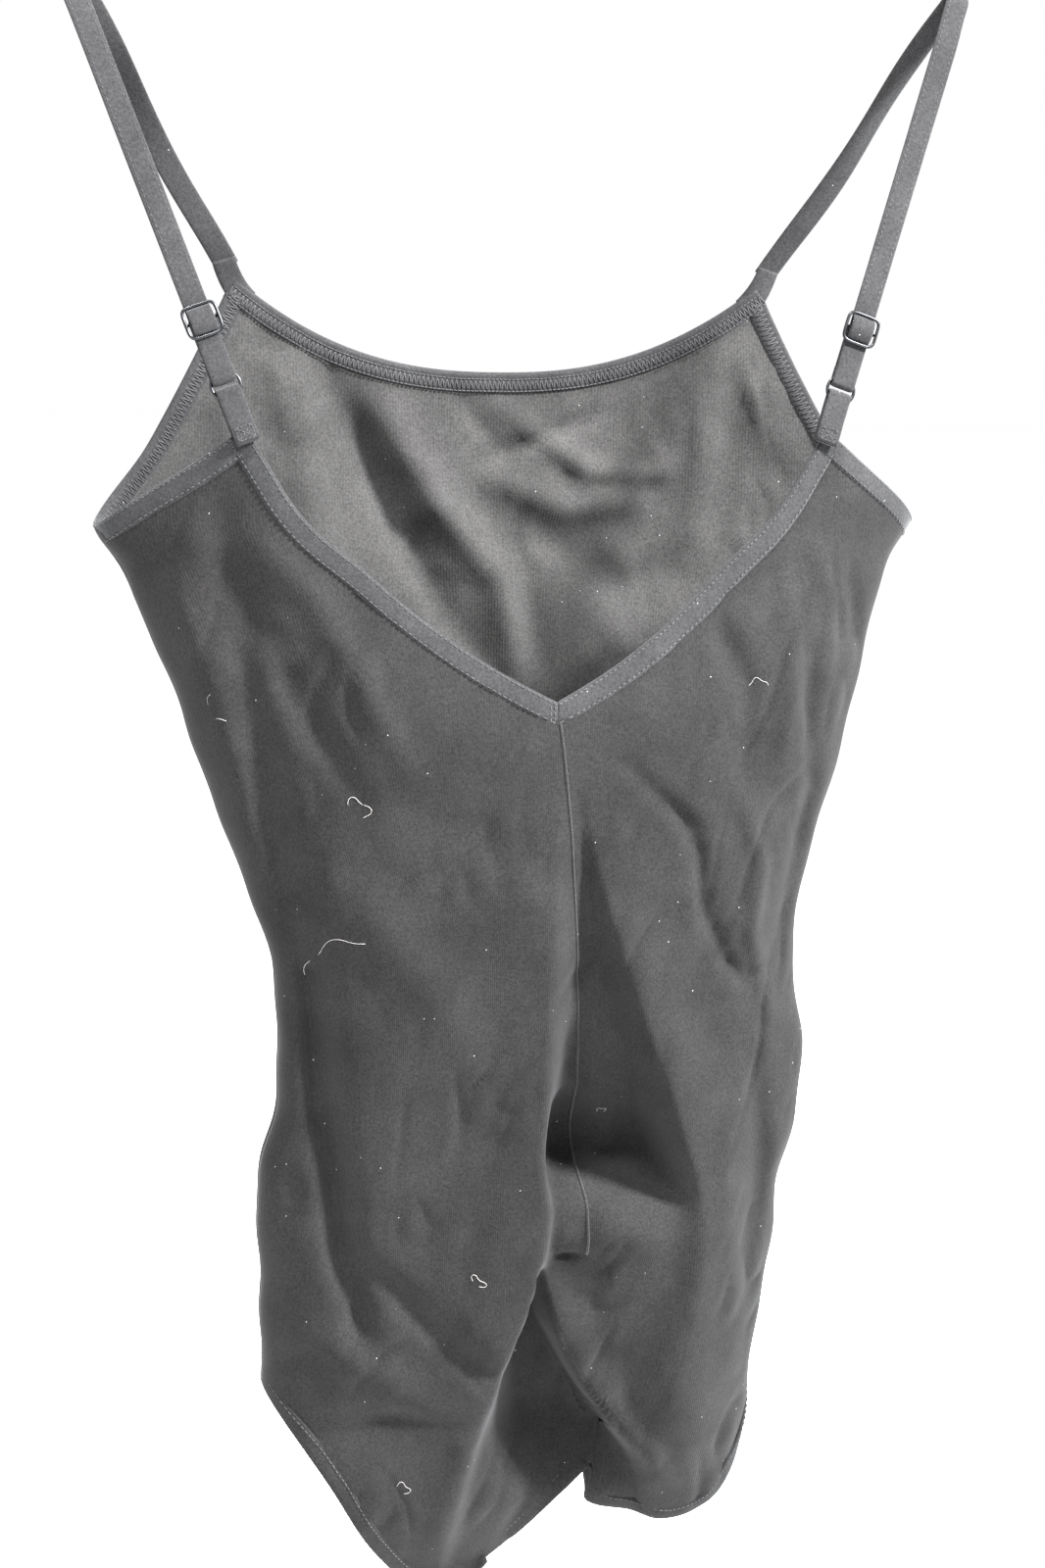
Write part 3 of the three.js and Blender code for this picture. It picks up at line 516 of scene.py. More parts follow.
def knit_cloth(name, colour, columns=True, sheen=0.06, lint=0.5, rough=0.85, pitch=0.0011):
    material, surface, tree, node = shader(name, rough)
    place = node("TexCoord").outputs["Object"]
    patches = node("TexNoise", {"Vector": place, "Scale": 34.0, "Detail": 3.0, "Roughness": 0.6})
    fuzz = node("TexNoise", {"Vector": place, "Scale": 900.0, "Detail": 2.0, "Roughness": 0.7})
    tone = node("MapRange", {"Value": patches.outputs["Fac"], "From Min": 0.3, "From Max": 0.7,
                             "To Min": 0.82, "To Max": 1.2})
    grain = node("MapRange", {"Value": fuzz.outputs["Fac"], "From Min": 0.3, "From Max": 0.7,
                              "To Min": 0.66, "To Max": 1.36})
    both = node("Math", {0: tone.outputs[0], 1: grain.outputs[0]}, operation="MULTIPLY")
    height = fuzz.outputs["Fac"]
    if columns:
        knit = node("UVMap")
        wales = node("TexWave", {"Vector": knit.outputs["UV"], "Scale": math.pi / 10 / pitch,
                                 "Distortion": 0.6, "Detail": 1.0}, wave_type="BANDS", bands_direction="X")
        line = node("MapRange", {"Value": wales.outputs["Fac"], "To Min": 0.94, "To Max": 1.05})
        both = node("Math", {0: both.outputs[0], 1: line.outputs[0]}, operation="MULTIPLY")
        raised = node("Math", {0: wales.outputs["Fac"], 1: 0.4, 2: height}, operation="MULTIPLY_ADD")
        height = raised.outputs[0]
    cells = node("TexVoronoi", {"Vector": place, "Scale": 230.0})
    near = node("Math", {0: cells.outputs["Distance"], 1: 0.062}, operation="LESS_THAN")
    some = node("SeparateColor", {"Color": cells.outputs["Color"]})
    chosen = node("Math", {0: some.outputs["Red"], 1: 0.88}, operation="GREATER_THAN")
    speck = node("Math", {0: near.outputs[0], 1: chosen.outputs[0]}, operation="MULTIPLY")
    speck = node("Math", {0: speck.outputs[0], 1: lint}, operation="MULTIPLY")
    dark = node("Mix", {"Factor": 1.0, 6: (*colour, 1), 7: both.outputs[0]},
                data_type="RGBA", blend_type="MULTIPLY")
    pale = node("Mix", {"Factor": speck.outputs[0], 6: dark.outputs[2], 7: LINT_COLOUR}, data_type="RGBA")
    tree.links.new(pale.outputs[2], surface.inputs["Base Color"])
    bump = node("Bump", {"Height": height, "Strength": 0.35, "Distance": 0.0003})
    tree.links.new(bump.outputs["Normal"], surface.inputs["Normal"])
    surface.inputs["Sheen Weight"].default_value = sheen
    surface.inputs["Sheen Roughness"].default_value = 0.45
    surface.inputs["Sheen Tint"].default_value = (0.8, 0.82, 0.85, 1)
    surface.inputs["Specular IOR Level"].default_value = 0.05
    return material


print("materials before the cloths", len(bpy.data.materials))

# %% [markdown]
# ## The cloths and the metal
# Every cloth is the same knit with its own colour, except the front panel's jersey, which is painted lighter
# than the back's to stand in for the light that falls on its inside. Only the two panels show the knit's
# columns. The rings and sliders are a dark metal whose shine varies a little from place to place.

# %% The finishes of the pieces
JERSEY = knit_cloth("black jersey", (0.0128, 0.0125, 0.0126))
TRIM = knit_cloth("binding jersey", (0.0195, 0.0195, 0.0203), columns=False, sheen=0.16)
HEM = knit_cloth("hem jersey", (0.0140, 0.0140, 0.0143), columns=False)
SEAM = knit_cloth("seam cloth", (0.013, 0.013, 0.014), columns=False, sheen=0.04, lint=0.1)
LINING = knit_cloth("cotton lining", (0.060, 0.060, 0.062), columns=False, sheen=0.15)
thread_look = {"columns": False, "sheen": 0.1, "lint": 0.0, "rough": 0.5}
THREAD = knit_cloth("sewing thread", (0.040, 0.040, 0.042), **thread_look)
INNER_THREAD = knit_cloth("overlock thread", (0.036, 0.036, 0.038), **thread_look)
# The front panel's jersey is more than twice as light as the back's. This is painted light: it stands in for
# the light that falls on the inside of the front from above.
FRONT_JERSEY_PAINTED_LIGHTER = knit_cloth("black jersey, inner face painted lighter", (0.0285, 0.0280, 0.0278))
HAIR, hair_surface, _, _ = shader("pale lint", 0.5)
hair_surface.inputs["Base Color"].default_value = (0.32, 0.31, 0.30, 1)

METAL, metal_surface, metal_tree, metal_node = shader("dark nickel", 0.26, metallic=1.0)
metal_place = metal_node("TexCoord").outputs["Object"]
wear = metal_node("TexNoise", {"Vector": metal_place, "Scale": 420.0, "Detail": 4.0})
shine = metal_node("MapRange", {"Value": wear.outputs["Fac"], "To Min": 0.24, "To Max": 0.46})
metal_surface.inputs["Base Color"].default_value = (0.030, 0.031, 0.033, 1)
metal_tree.links.new(shine.outputs[0], metal_surface.inputs["Roughness"])
print("materials", len(bpy.data.materials))

# %% [markdown]
# ## Front and back panels
# The back panel has more rows and columns, because its folds are closer together. Each panel takes its
# plain solid's place. The printed area is that of the folded cloth.

# %% Make the two panels
def settle(piece, slot, body, *nodes):
    """Gives a piece the body it rides on, and hides the plain solids it takes the place of. The slot is not
    used.
    """
    if body:
        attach(piece, body)
    if nodes:
        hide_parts(*nodes)
    return piece


back_panel = panel("back_panel_cloth", BACK, 220, 260, JERSEY)
# The front panel takes the jersey painted lighter, for the light on its inside.
front_panel = panel("front_panel_cloth", FRONT, 150, 190, FRONT_JERSEY_PAINTED_LIGHTER)
settle(back_panel, "jersey", "leotard", "back_panel")
settle(front_panel, "jersey", "leotard", "front_panel")
print("panels", back_panel.name, front_panel.name)

# %% [markdown]
# ## Frames along an edge
# Everything sewn to an edge follows the same set of frames: a place on the edge, the way along it, the way
# into the cloth, and the way out from the body. The way into the cloth is measured a binding's width
# further down on the real folded surface, so the binding's lower edge lies on the cloth too.

# %% Edge frames
def unit(vectors):
    return vectors / np.maximum(np.linalg.norm(vectors, axis=-1, keepdims=True), 1e-12)


def soften(rows, times, closed=False):
    for _ in range(times):
        before, after = np.roll(rows, 1, axis=0), np.roll(rows, -1, axis=0)
        if not closed:
            before[0], after[-1] = rows[0], rows[-1]
        mixed = 0.25 * before + 0.5 * rows + 0.25 * after
        if not closed:
            mixed[0], mixed[-1] = rows[0], rows[-1]
        rows = mixed
    return rows


def edge(side, shares, at_top=True, reach=0.008):
    """Four arrays of vectors along a panel's edge: place, along, into the cloth, and out from the body."""
    shares = np.asarray(shares, float)
    hem_z = (BACK_HEM_Z if side == BACK else FRONT_HEM_Z)(shares)
    step = reach / np.maximum(top_edge(side, shares) - hem_z, 0.01)
    place = cloth(side, shares, 1.0 if at_top else 0.0)
    within = cloth(side, shares, 1 - step if at_top else step) - place
    return with_directions(place, within, side)


def along_path(place, closed=False):
    if closed:
        return unit(np.roll(place, -1, axis=0) - np.roll(place, 1, axis=0))
    return unit(np.gradient(place, axis=0))


def with_directions(place, within, side):
    along = along_path(place)
    within = unit(within - along * np.sum(within * along, axis=1, keepdims=True))
    out = np.cross(along, within)
    flip = np.sign(out[len(out) // 2, 1]) * side
    return place, along, within, out * flip


neckline = edge(BACK, np.linspace(-0.5, 0.5, 60))[0]
print("back neckline's middle half", round(float(np.linalg.norm(np.diff(neckline, axis=0), axis=1).sum()), 4))

# %% [markdown]
# ## Sewing a strip along a path
# Bindings, hems, straps and seams are all one idea: a small outline carried along a path. A grid is wrapped
# round the outline, its long edges are merged into one tube, and its ends are closed. The outline is a flat
# rounded shape, given in metres as (into the cloth, out from the body).

# %% Strips
SIDE_ROUNDING = 2.2


def flat_round(width, thick, count=20, power=3.2):
    turns = np.linspace(0, 2 * np.pi, count, endpoint=False)
    c, s = np.cos(turns), np.sin(turns)
    return np.stack([np.sign(c) * np.abs(c) ** (2 / power) * width / 2,
                     np.sign(s) * np.abs(s) ** (2 / SIDE_ROUNDING) * thick / 2], axis=1)


def strip(name, frames, outline, material, closed=False, shift=(0, 0), taper=None):
    place, _, within, out = frames
    if closed:
        place, within, out = (np.concatenate([a, a[:1]]) for a in (place, within, out))
    rows, around = len(place), len(outline)
    ring = np.concatenate([outline, outline[:1]]) + np.array(shift)
    size = np.ones(rows) if taper is None else taper
    far = np.concatenate([[0], np.cumsum(np.linalg.norm(np.diff(place, axis=0), axis=1))])
    bm = bmesh.new()
    bmesh.ops.create_grid(bm, x_segments=around, y_segments=rows - 1, size=0.5, calc_uvs=True)
    knit = bm.loops.layers.uv.verify()
    cells = {}
    for v in bm.verts:
        i, j = round((v.co.x + 0.5) * around), round((v.co.y + 0.5) * (rows - 1))
        cells[v] = (i, j)
    for face in bm.faces:
        for loop in face.loops:
            i, j = cells[loop.vert]
            loop[knit].uv = (far[j], i * 0.001)
    for v, (i, j) in cells.items():
        v.co = place[j] + within[j] * ring[i][0] * size[j] + out[j] * ring[i][1]
    bmesh.ops.remove_doubles(bm, verts=bm.verts, dist=2e-6)
    bmesh.ops.holes_fill(bm, edges=[e for e in bm.edges if e.is_boundary])
    bmesh.ops.recalc_face_normals(bm, faces=bm.faces)
    return new_piece(name, bm, material)


print("points round a band's outline", len(flat_round(0.01, 0.001)))

# %% [markdown]
# ## Stitches
# A stitch is a small ball, stretched along the thread and flattened against the cloth. A row sets them end
# to end with gaps between, and a zigzag crosses from one line to another without a gap. They are made a batch
# at a time and gathered into one mesh.

# %% Rows and zigzags of thread
BATCH = 40  # stitches made at a time, because a long mesh grows slowly


def threads(name, segments, material, radius=0.00030):
    """Short raised stitches, each from one place to another, flattened against the cloth."""
    whole, batch = bmesh.new(), bmesh.new()
    basket = bpy.data.meshes.new("stitches so far")
    for i, (start, end, out) in enumerate(segments):
        start, end, out = Vector(start), Vector(end), Vector(out).normalized()
        along = (end - start).normalized()
        across = out.cross(along).normalized()
        turn = Matrix((along, across, along.cross(across))).transposed().to_4x4()
        size = Matrix.Diagonal(((end - start).length / 2 + radius * 0.4, radius, radius * 0.8, 1))
        bmesh.ops.create_uvsphere(batch, u_segments=6, v_segments=4, radius=1,
                                  matrix=Matrix.Translation((start + end) / 2) @ turn @ size)
        if i % BATCH == BATCH - 1 or i == len(segments) - 1:
            batch.to_mesh(basket)
            whole.from_mesh(basket)
            batch.clear()
    batch.free()
    bpy.data.meshes.remove(basket)
    print(name, "stitches", len(segments))
    return new_piece(name, whole, material)


def rows_of_stitches(frames, offsets, lift, pitch=0.0026, gap=0.3):
    place, _, within, out = frames
    far = np.concatenate([[0], np.cumsum(np.linalg.norm(np.diff(place, axis=0), axis=1))])

    def at(distance, offset):
        row = [np.interp(distance, far, column) for column in (place + within * offset + out * lift).T]
        return np.array(row)

    def way(distance):
        return np.array([np.interp(distance, far, column) for column in out.T]) * np.sign(lift)

    found = []
    for offset in offsets:
        for i in range(int(far[-1] / pitch)):
            a = (i + gap / 2) * pitch
            found.append((at(a, offset), at(a + (1 - gap) * pitch, offset), way(a)))
    return found


def zigzag(frames, low, high, lift, pitch=0.0014):
    place, _, within, out = frames
    far = np.concatenate([[0], np.cumsum(np.linalg.norm(np.diff(place, axis=0), axis=1))])
    count = int(far[-1] / pitch)
    found, last = [], None
    for i in range(count + 1):
        d = i * pitch
        line = place + within * (low if i % 2 else high) + out * lift
        where = [np.interp(d, far, column) for column in line.T]
        way = np.array([np.interp(d, far, column) for column in out.T]) * np.sign(lift)
        if last is not None:
            found.append((last, where, way))
        last = where
    return found


print("stitches made at a time", BATCH)

# %% [markdown]
# ## The front neck binding
# The jersey is folded over the neckline's edge and held by two rows on the outside. Inside, a thin round
# roll shows at the top, and below it the coverstitch makes a dense zigzag between two straight rows. The
# roll and the flat band are one outline, thicker at its top.

# %% Front neck
BINDING_THICK = 0.0028
BINDING_DROP = BINDING_WIDTH / 2 - EDGE_INSIDE
INSIDE = -BINDING_THICK / 2 - 0.0001  # how far the coverstitch lies from the cloth's middle
INNER_THREAD_RADIUS = 0.00034


def rolled(width, thick, roll):
    outline = flat_round(width, thick, count=28)
    top = np.clip(-outline[:, 0] / (width / 2), -1, 1)
    outline[:, 1] *= 1 + roll * np.exp(-(((top - 0.72) / 0.32) ** 2))
    return outline


def binding(name, frames, roll):
    return strip(name, frames, rolled(BINDING_WIDTH, BINDING_THICK, roll), TRIM, shift=(BINDING_DROP, 0))


corner = CORNER_SHARE[FRONT]
neck_frames = edge(FRONT, np.linspace(-corner, corner, 190))
neck_binding = binding("front_neck_binding_cloth", neck_frames, roll=0.5)
settle(neck_binding, "trim", "leotard", "front_neck_binding", "front_neck_elastic")
neck_out = rows_of_stitches(neck_frames, (0.0003, 0.0070), BINDING_THICK / 2)
neck_in = rows_of_stitches(neck_frames, (0.0018, 0.0072), INSIDE - 0.0001, pitch=0.0019, gap=0.12)
neck_in += zigzag(neck_frames, 0.0022, 0.0068, INSIDE, pitch=0.0011)
settle(threads("front_neck_stitches", neck_out, THREAD), "trim", "leotard")
settle(threads("front_neck_coverstitch", neck_in, INNER_THREAD, INNER_THREAD_RADIUS), "trim", "leotard")

# %% [markdown]
# ## Armholes and the back V
# Each side has one armhole binding that runs from the front corner, under the arm and up to the back
# corner. It butts against the neck bindings at both ends. The V's two halves meet in a mitre: near the
# point, the way into the cloth turns from square to the edge to straight down, and grows by the mitre's own
# length.

# %% Bindings on each side
def joined(parts, closed=False):
    """One run of frames from two edges that meet, with the corner between them softened."""
    place, _, within, outward = (np.concatenate(rows) for rows in zip(*parts))
    place, within = soften(place, 6, closed), soften(within, 10, closed)
    along = along_path(place, closed)
    within = unit(within - along * np.sum(within * along, axis=1, keepdims=True))
    out = np.cross(along, within)
    out *= np.where(np.sum(out * outward, axis=1, keepdims=True) < 0, -1, 1)
    return place, along, within, out


MITRE_REACH = 0.0062
SIDE_SHARE = 0.9995  # just short of the side seam
CORNER_GAP = 0.012  # the armhole binding stops this share short of a corner


def mitred(frames):
    place, along, within, out = frames
    reach = np.abs(place[:, 0:1])
    slope = np.abs(along[0, 2]) / np.hypot(along[0, 0], along[0, 1])
    down = np.array([[0, 0, -1]]) * math.hypot(1, slope)
    share = smoothstep(reach, 0.0, MITRE_REACH)
    return place, along, down * (1 - share) + within * share, out


all_threads, inner_threads = [], []
for name, sign in SIDES.items():
    front_part = edge(FRONT, sign * np.linspace(corner + CORNER_GAP, SIDE_SHARE, 60))
    back_part = edge(BACK, sign * np.linspace(SIDE_SHARE, CORNER_SHARE[BACK] + CORNER_GAP, 60))
    arm_frames = joined([front_part, back_part])
    arm = binding(f"armhole_{name}_cloth", arm_frames, roll=0.15)
    settle(arm, "trim", "leotard", f"armhole_{name}_binding", f"armhole_{name}_elastic")
    vee_frames = mitred(edge(BACK, sign * np.linspace(0.0, CORNER_SHARE[BACK] + 0.002, 110)))
    vee = binding(f"back_neck_{name}_cloth", vee_frames, roll=0.12)
    settle(vee, "trim", "leotard", f"back_neck_{name}_binding", f"back_neck_{name}_elastic")
    for frames in (arm_frames, vee_frames):
        all_threads += rows_of_stitches(frames, (-0.0002, 0.0070), BINDING_THICK / 2)
        inner_threads += zigzag(frames, 0.0006, 0.0068, INSIDE, pitch=0.0012)
vee_place = vee_frames[0][0]
for aside in (0.0012, 0.0030):
    for step in range(3):
        top_at = vee_place + np.array([aside, BINDING_THICK / 2, 0.0002 - step * 0.0026])
        all_threads.append((top_at, top_at - np.array([0, 0, 0.0019]), (0, 1, 0)))
settle(threads("binding_stitches", all_threads, THREAD), "trim", "leotard")
inner = threads("binding_coverstitch", inner_threads, INNER_THREAD, INNER_THREAD_RADIUS)
settle(inner, "trim", "leotard")

# %% [markdown]
# ## Leg openings
# A leg's edge is a turned hem: one flat band right round the opening, over the elastic, with a single row
# of stitches. The band is a closed loop that runs down the back, under the crotch and up the front.

# %% Leg hems
HEM_WIDTH, HEM_THICK = 0.0085, 0.0023
CROTCH_SHARE = 0.28
hem_threads = []
for name, sign in SIDES.items():
    shares = np.linspace(SIDE_SHARE, CROTCH_SHARE, 90)
    down_back = edge(BACK, sign * shares, at_top=False)
    up_front = edge(FRONT, sign * shares[::-1], at_top=False)
    leg_frames = joined([down_back, up_front], closed=True)
    leg = strip(f"leg_{name}_hem", leg_frames, flat_round(HEM_WIDTH, HEM_THICK, power=2.8), HEM, closed=True,
                shift=(HEM_WIDTH / 2 - 0.001, 0))
    settle(leg, "jersey", "leotard", f"leg_{name}_binding", f"leg_{name}_elastic")
    hem_threads += rows_of_stitches(leg_frames, (0.0062,), HEM_THICK / 2)
settle(threads("hem_stitches", hem_threads, THREAD), "jersey", "leotard")

# %% [markdown]
# ## Between the legs
# A short seam joins the front to the back under the crotch, as wide as the gap between the two edges. The
# cotton lining lies inside it and reaches further up the front than up the back.

# %% Crotch seam and lining
BETWEEN_HEMS = 0.80  # the seam's share of the crotch, so that it stops inside the leg hems
LINING_INSIDE, LINING_THICK = 0.0018, 0.0007
cross = np.linspace(-CROTCH_SHARE, CROTCH_SHARE, 30) * BETWEEN_HEMS
crotch_back, crotch_front = edge(BACK, cross, at_top=False), edge(FRONT, cross, at_top=False)
crotch_place = (crotch_back[0] + crotch_front[0]) / 2
crotch_frames = with_directions(crotch_place, np.tile([0.0, 1.0, 0.0], (30, 1)), BACK)
crotch_gap = float(np.abs(crotch_back[0] - crotch_front[0])[:, 1].max())
crotch_frames = (*crotch_frames[:3], np.tile([0.0, 0.0, -1.0], (30, 1)))
crotch = strip("crotch_seam_cloth", crotch_frames, flat_round(crotch_gap + 0.003, 0.0034), HEM)
settle(crotch, "jersey", "leotard", "crotch_seam")


def lining_sheet(name, columns, rows, front, back, inside):
    """A sheet that runs down the inside of the front, under the crotch and up the inside of the back."""
    bm = bmesh.new()
    bmesh.ops.create_grid(bm, x_segments=columns, y_segments=rows, size=0.5, calc_uvs=True)
    flat = np.array([v.co for v in bm.verts])
    share = flat[:, 0] * 2 * (CROTCH_SHARE - 0.03)
    run = -front + (flat[:, 1] + 0.5) * (front + back)
    on_front = cloth(FRONT, share, 0.002 + np.maximum(-run, 0) / 0.5)
    on_back = cloth(BACK, share, 0.002 + np.maximum(run, 0) / 0.4)
    mix = smoothstep(run, -0.006, 0.006)[:, None]
    off = np.stack([0 * run, np.where(run < 0, inside, -inside), np.full(run.shape, inside)], axis=1)
    away = 1 - np.exp(-(run[:, None] / 0.008) ** 2) * 0.8
    places = on_front * (1 - mix) + on_back * mix + off * away
    for v, place in zip(bm.verts, places):
        v.co = place
    return thicken(new_piece(name, bm, LINING), LINING_THICK)


lining = lining_sheet("crotch_lining_cloth", 24, 40, 0.062, 0.034, LINING_INSIDE)
settle(lining, "lining", "leotard", "crotch_lining")
print("crotch gap", round(crotch_gap, 4), "lining verts", len(lining.data.vertices))

# %% [markdown]
# ## Side seams and the centre back seam
# A seam shows outside as a fine raised line, and inside as a small upright allowance. The side seams run
# where front and back meet. The centre back seam starts at the V's mitre, leans a little to the right as
# the cloth sags, and stops at a small tuck. Its raised line is coloured like the lighter bindings, a painted
# highlight along the seam's edge.

# %% Seams
def on_cloth(side, x, z):
    """The share and height of a place given as it is seen from behind."""
    x, z = np.atleast_1d(np.asarray(x, float)), np.atleast_1d(np.asarray(z, float))
    share, up = x / half_width(x, z), np.full(x.shape, 0.5)
    hem_z = BACK_HEM_Z if side == BACK else FRONT_HEM_Z
    for _ in range(12):
        up = np.clip((z - hem_z(share)) / (top_edge(side, share) - hem_z(share)), 0, 1)
        share = np.clip(share + (x - cloth(side, share, up)[:, 0]) / half_width(x, z) * 0.7, -1, 1)
    return share, up


for name, sign in SIDES.items():
    ups = np.linspace(0.03, 0.985, 110)
    place = soften((cloth(FRONT, sign * 0.9999, ups) + cloth(BACK, sign * 0.9999, ups)) / 2, 4)
    inwards = np.tile([-float(sign), 0.0, 0.0], (110, 1))
    seam_frames = with_directions(place, inwards, BACK)
    seam = strip(f"side_seam_{name}_cloth", seam_frames, flat_round(0.0062, 0.0024, power=2.4), SEAM,
                 shift=(0.0026, 0))
    settle(seam, "seam_cloth", "leotard", f"side_seam_{name}")

SEAM_END_Z, SEAM_START_Z = -0.556, -0.313
SEAM_RUN = french_curve([(SEAM_END_Z, -0.021), (-0.500, -0.019), (-0.430, -0.014), (-0.380, -0.009),
                         (-0.310, -0.001)])
seam_z = np.linspace(SEAM_END_Z, SEAM_START_Z, 140)
seam_share, seam_up = on_cloth(BACK, SEAM_RUN(seam_z), seam_z)
seam_place = cloth(BACK, seam_share, seam_up)
beside = cloth(BACK, seam_share + 0.02, seam_up) - seam_place
seam_frames = with_directions(seam_place, beside, BACK)
# The seam's raised line takes the lighter binding colour, not the panel's. This is a painted highlight, so
# that it reads as a lit edge in the dark channel.
line = strip("centre_back_seam_cloth", seam_frames, flat_round(0.0011, 0.0014), TRIM, shift=(0, 0.0004))
allowance = strip("centre_back_allowance", seam_frames, flat_round(0.0050, 0.0012), SEAM, shift=(0, -0.0011))
settle(line, "seam_cloth", "leotard", "centre_back_seam")
settle(allowance, "seam_cloth", "leotard")
print("centre seam length", round(float(np.linalg.norm(np.diff(seam_place, axis=0), axis=1).sum()), 4))

# %% [markdown]
# ## Straps
# A strap is a flat tube of jersey with two rows of stitches. It leaves the front corner, turns over where a
# shoulder would be, runs down the back, and folds round a ring. Its own frames come from the joints: the
# back run must stay straight, because the slider travels on it, while the front run may lean and twist a
# little.

# %% The strap's path
STRAP_WIDTH, STRAP_THICK = 0.0106, 0.0013
JOIN_TO = 0.010
PEAK = Vector((0.200, -0.015, 0.004521))
CROWN_RADIUS = 0.009
LAYER = 0.0016  # from the middle of the doubled strap to the middle of either layer
SLIDER_AT = RING_ABOVE_CORNER + 0.028
PEAK_AT = (PEAK - BACK_CORNER).length


def square_to(along):
    across = Vector((1, 0, 0)) - along * along.x
    return across.normalized()


def on_run(distance, off=0.0):
    """A place on the strap's back run: up from the back corner, and out from the body."""
    return BACK_CORNER + RUN_UP * distance + RUN_OUT * off


def back_frame(distance, off, out):
    return on_run(distance, off), RUN_UP.copy(), RUN_ACROSS.copy(), out


def fold_frames(middle, off, radius, start, end, steps):
    """A strap folded round a wire or a bar, from one angle to another in degrees."""
    found = []
    for i in range(steps + 1):
        angle = math.radians(start + (end - start) * i / steps)
        out = RUN_OUT * math.cos(angle) + RUN_UP * math.sin(angle)
        found.append((on_run(middle, off) + out * radius, RUN_UP.copy(), RUN_ACROSS.copy(), out))
    return found


def as_arrays(frames, sign):
    return tuple(np.array([list(frame[k]) for frame in frames]) * (sign, 1.0, 1.0) for k in range(4))


def mirrored(place, sign):
    return np.array(place) * (sign, 1, 1)


print("slider above the back corner", round(SLIDER_AT, 4), "peak", round(PEAK_AT, 4))

# %% [markdown]
# ## The strap's route
# The strap rises from the front corner, turns over the peak, comes straight down behind and folds round the
# ring. It twists and sways a little on the way up, so that it doesn't look like a ruled band.

# %% From the front corner to the ring
front_way = (PEAK - NECK_CORNER).normalized()
front_out = square_to(front_way).cross(front_way).normalized()
strap_line = []
front_end, back_end = PEAK - front_way * CROWN_RADIUS, PEAK - RUN_UP * CROWN_RADIUS
start = NECK_CORNER + front_way * (JOIN_TO - 0.004)  # 4 mm of strap lies inside the sewn join
for i in range(40):
    t = i / 40
    sway = math.sin(math.pi * t) * 0.0022 * math.sin(5.0 * t)
    twist = math.radians(14 * math.sin(math.pi * t) * math.sin(2.4 * math.pi * t))
    turn = Matrix.Rotation(twist, 3, front_way)
    place = start.lerp(front_end, t) + square_to(front_way) * sway
    strap_line.append((place, front_way, turn @ square_to(front_way), turn @ front_out))
for i in range(16):
    t = i / 16
    place = front_end * (1 - t) ** 2 + PEAK * (2 * t * (1 - t)) + back_end * t * t
    way = ((PEAK - front_end) * (1 - t) + (back_end - PEAK) * t).normalized()
    across = square_to(way)
    strap_line.append((place, way, across, across.cross(way).normalized()))
STRAIGHT_TO = RING_ABOVE_CORNER + 0.0005 + LAYER + STRAP_THICK / 2
for i in range(60):
    distance = PEAK_AT - CROWN_RADIUS + (STRAIGHT_TO - PEAK_AT + CROWN_RADIUS) * i / 60
    ease = float(smoothstep(PEAK_AT - CROWN_RADIUS - distance, 0.0, 0.020))
    turn = Matrix.Rotation(math.radians(5 * math.sin(math.pi * i / 22)) if i < 22 else 0.0, 3, RUN_UP)
    strap_line.append(back_frame(distance, LAYER * ease, turn @ RUN_OUT))
    strap_line[-1] = (*strap_line[-1][:2], turn @ RUN_ACROSS, strap_line[-1][3])
strap_line += fold_frames(STRAIGHT_TO, 0, LAYER, 0, -180, 12)
strap_line += [back_frame(STRAIGHT_TO + d, -LAYER, -RUN_OUT) for d in (0.001, 0.003, 0.005, 0.007)]
print("strap frames", len(strap_line), "front way", front_way[:])

# %% [markdown]
# ## Straps and their sewn joins
# At the front corner the binding doesn't stop: it turns upwards and becomes the strap, so the join piece
# starts inside the binding and bends into the strap's own direction. It is attached to neither body.

# %% Straps and joins
JOIN_START = 0.009  # how far inside the neck binding's end the join begins
JOIN_STEPS = 18
STRAP_EDGE_POWER = 5


def join_frames(sign):
    """From inside the neck binding's end to the strap's sewn end."""
    rows = neck_frames if sign > 0 else tuple(a[::-1] for a in neck_frames)
    far = np.linalg.norm(rows[0] - rows[0][-1], axis=1)
    i = int(np.argmin(np.abs(far - JOIN_START)))
    from_place, from_down, from_out = rows[0][i] + rows[2][i] * BINDING_DROP, rows[2][i], rows[3][i]
    to_place = mirrored(NECK_CORNER + front_way * JOIN_TO, sign)
    turn_at = (rows[0][-1] + rows[2][-1] * BINDING_DROP) * 0.75 + mirrored(NECK_CORNER, sign) * 0.25
    to_across, to_out = mirrored(square_to(front_way), sign), mirrored(front_out, sign)
    t = np.linspace(0, 1, JOIN_STEPS)[:, None]
    place = from_place * (1 - t) ** 2 + turn_at * 2 * t * (1 - t) + to_place * t**2
    mix = smoothstep(t, 0.15, 0.95)
    along = unit(np.gradient(place, axis=0))
    across = from_down * (1 - mix) + to_across * mix
    across = unit(across - along * np.sum(across * along, axis=1, keepdims=True))
    out = unit(from_out * (1 - mix) + to_out * mix)
    return place, along, across, out


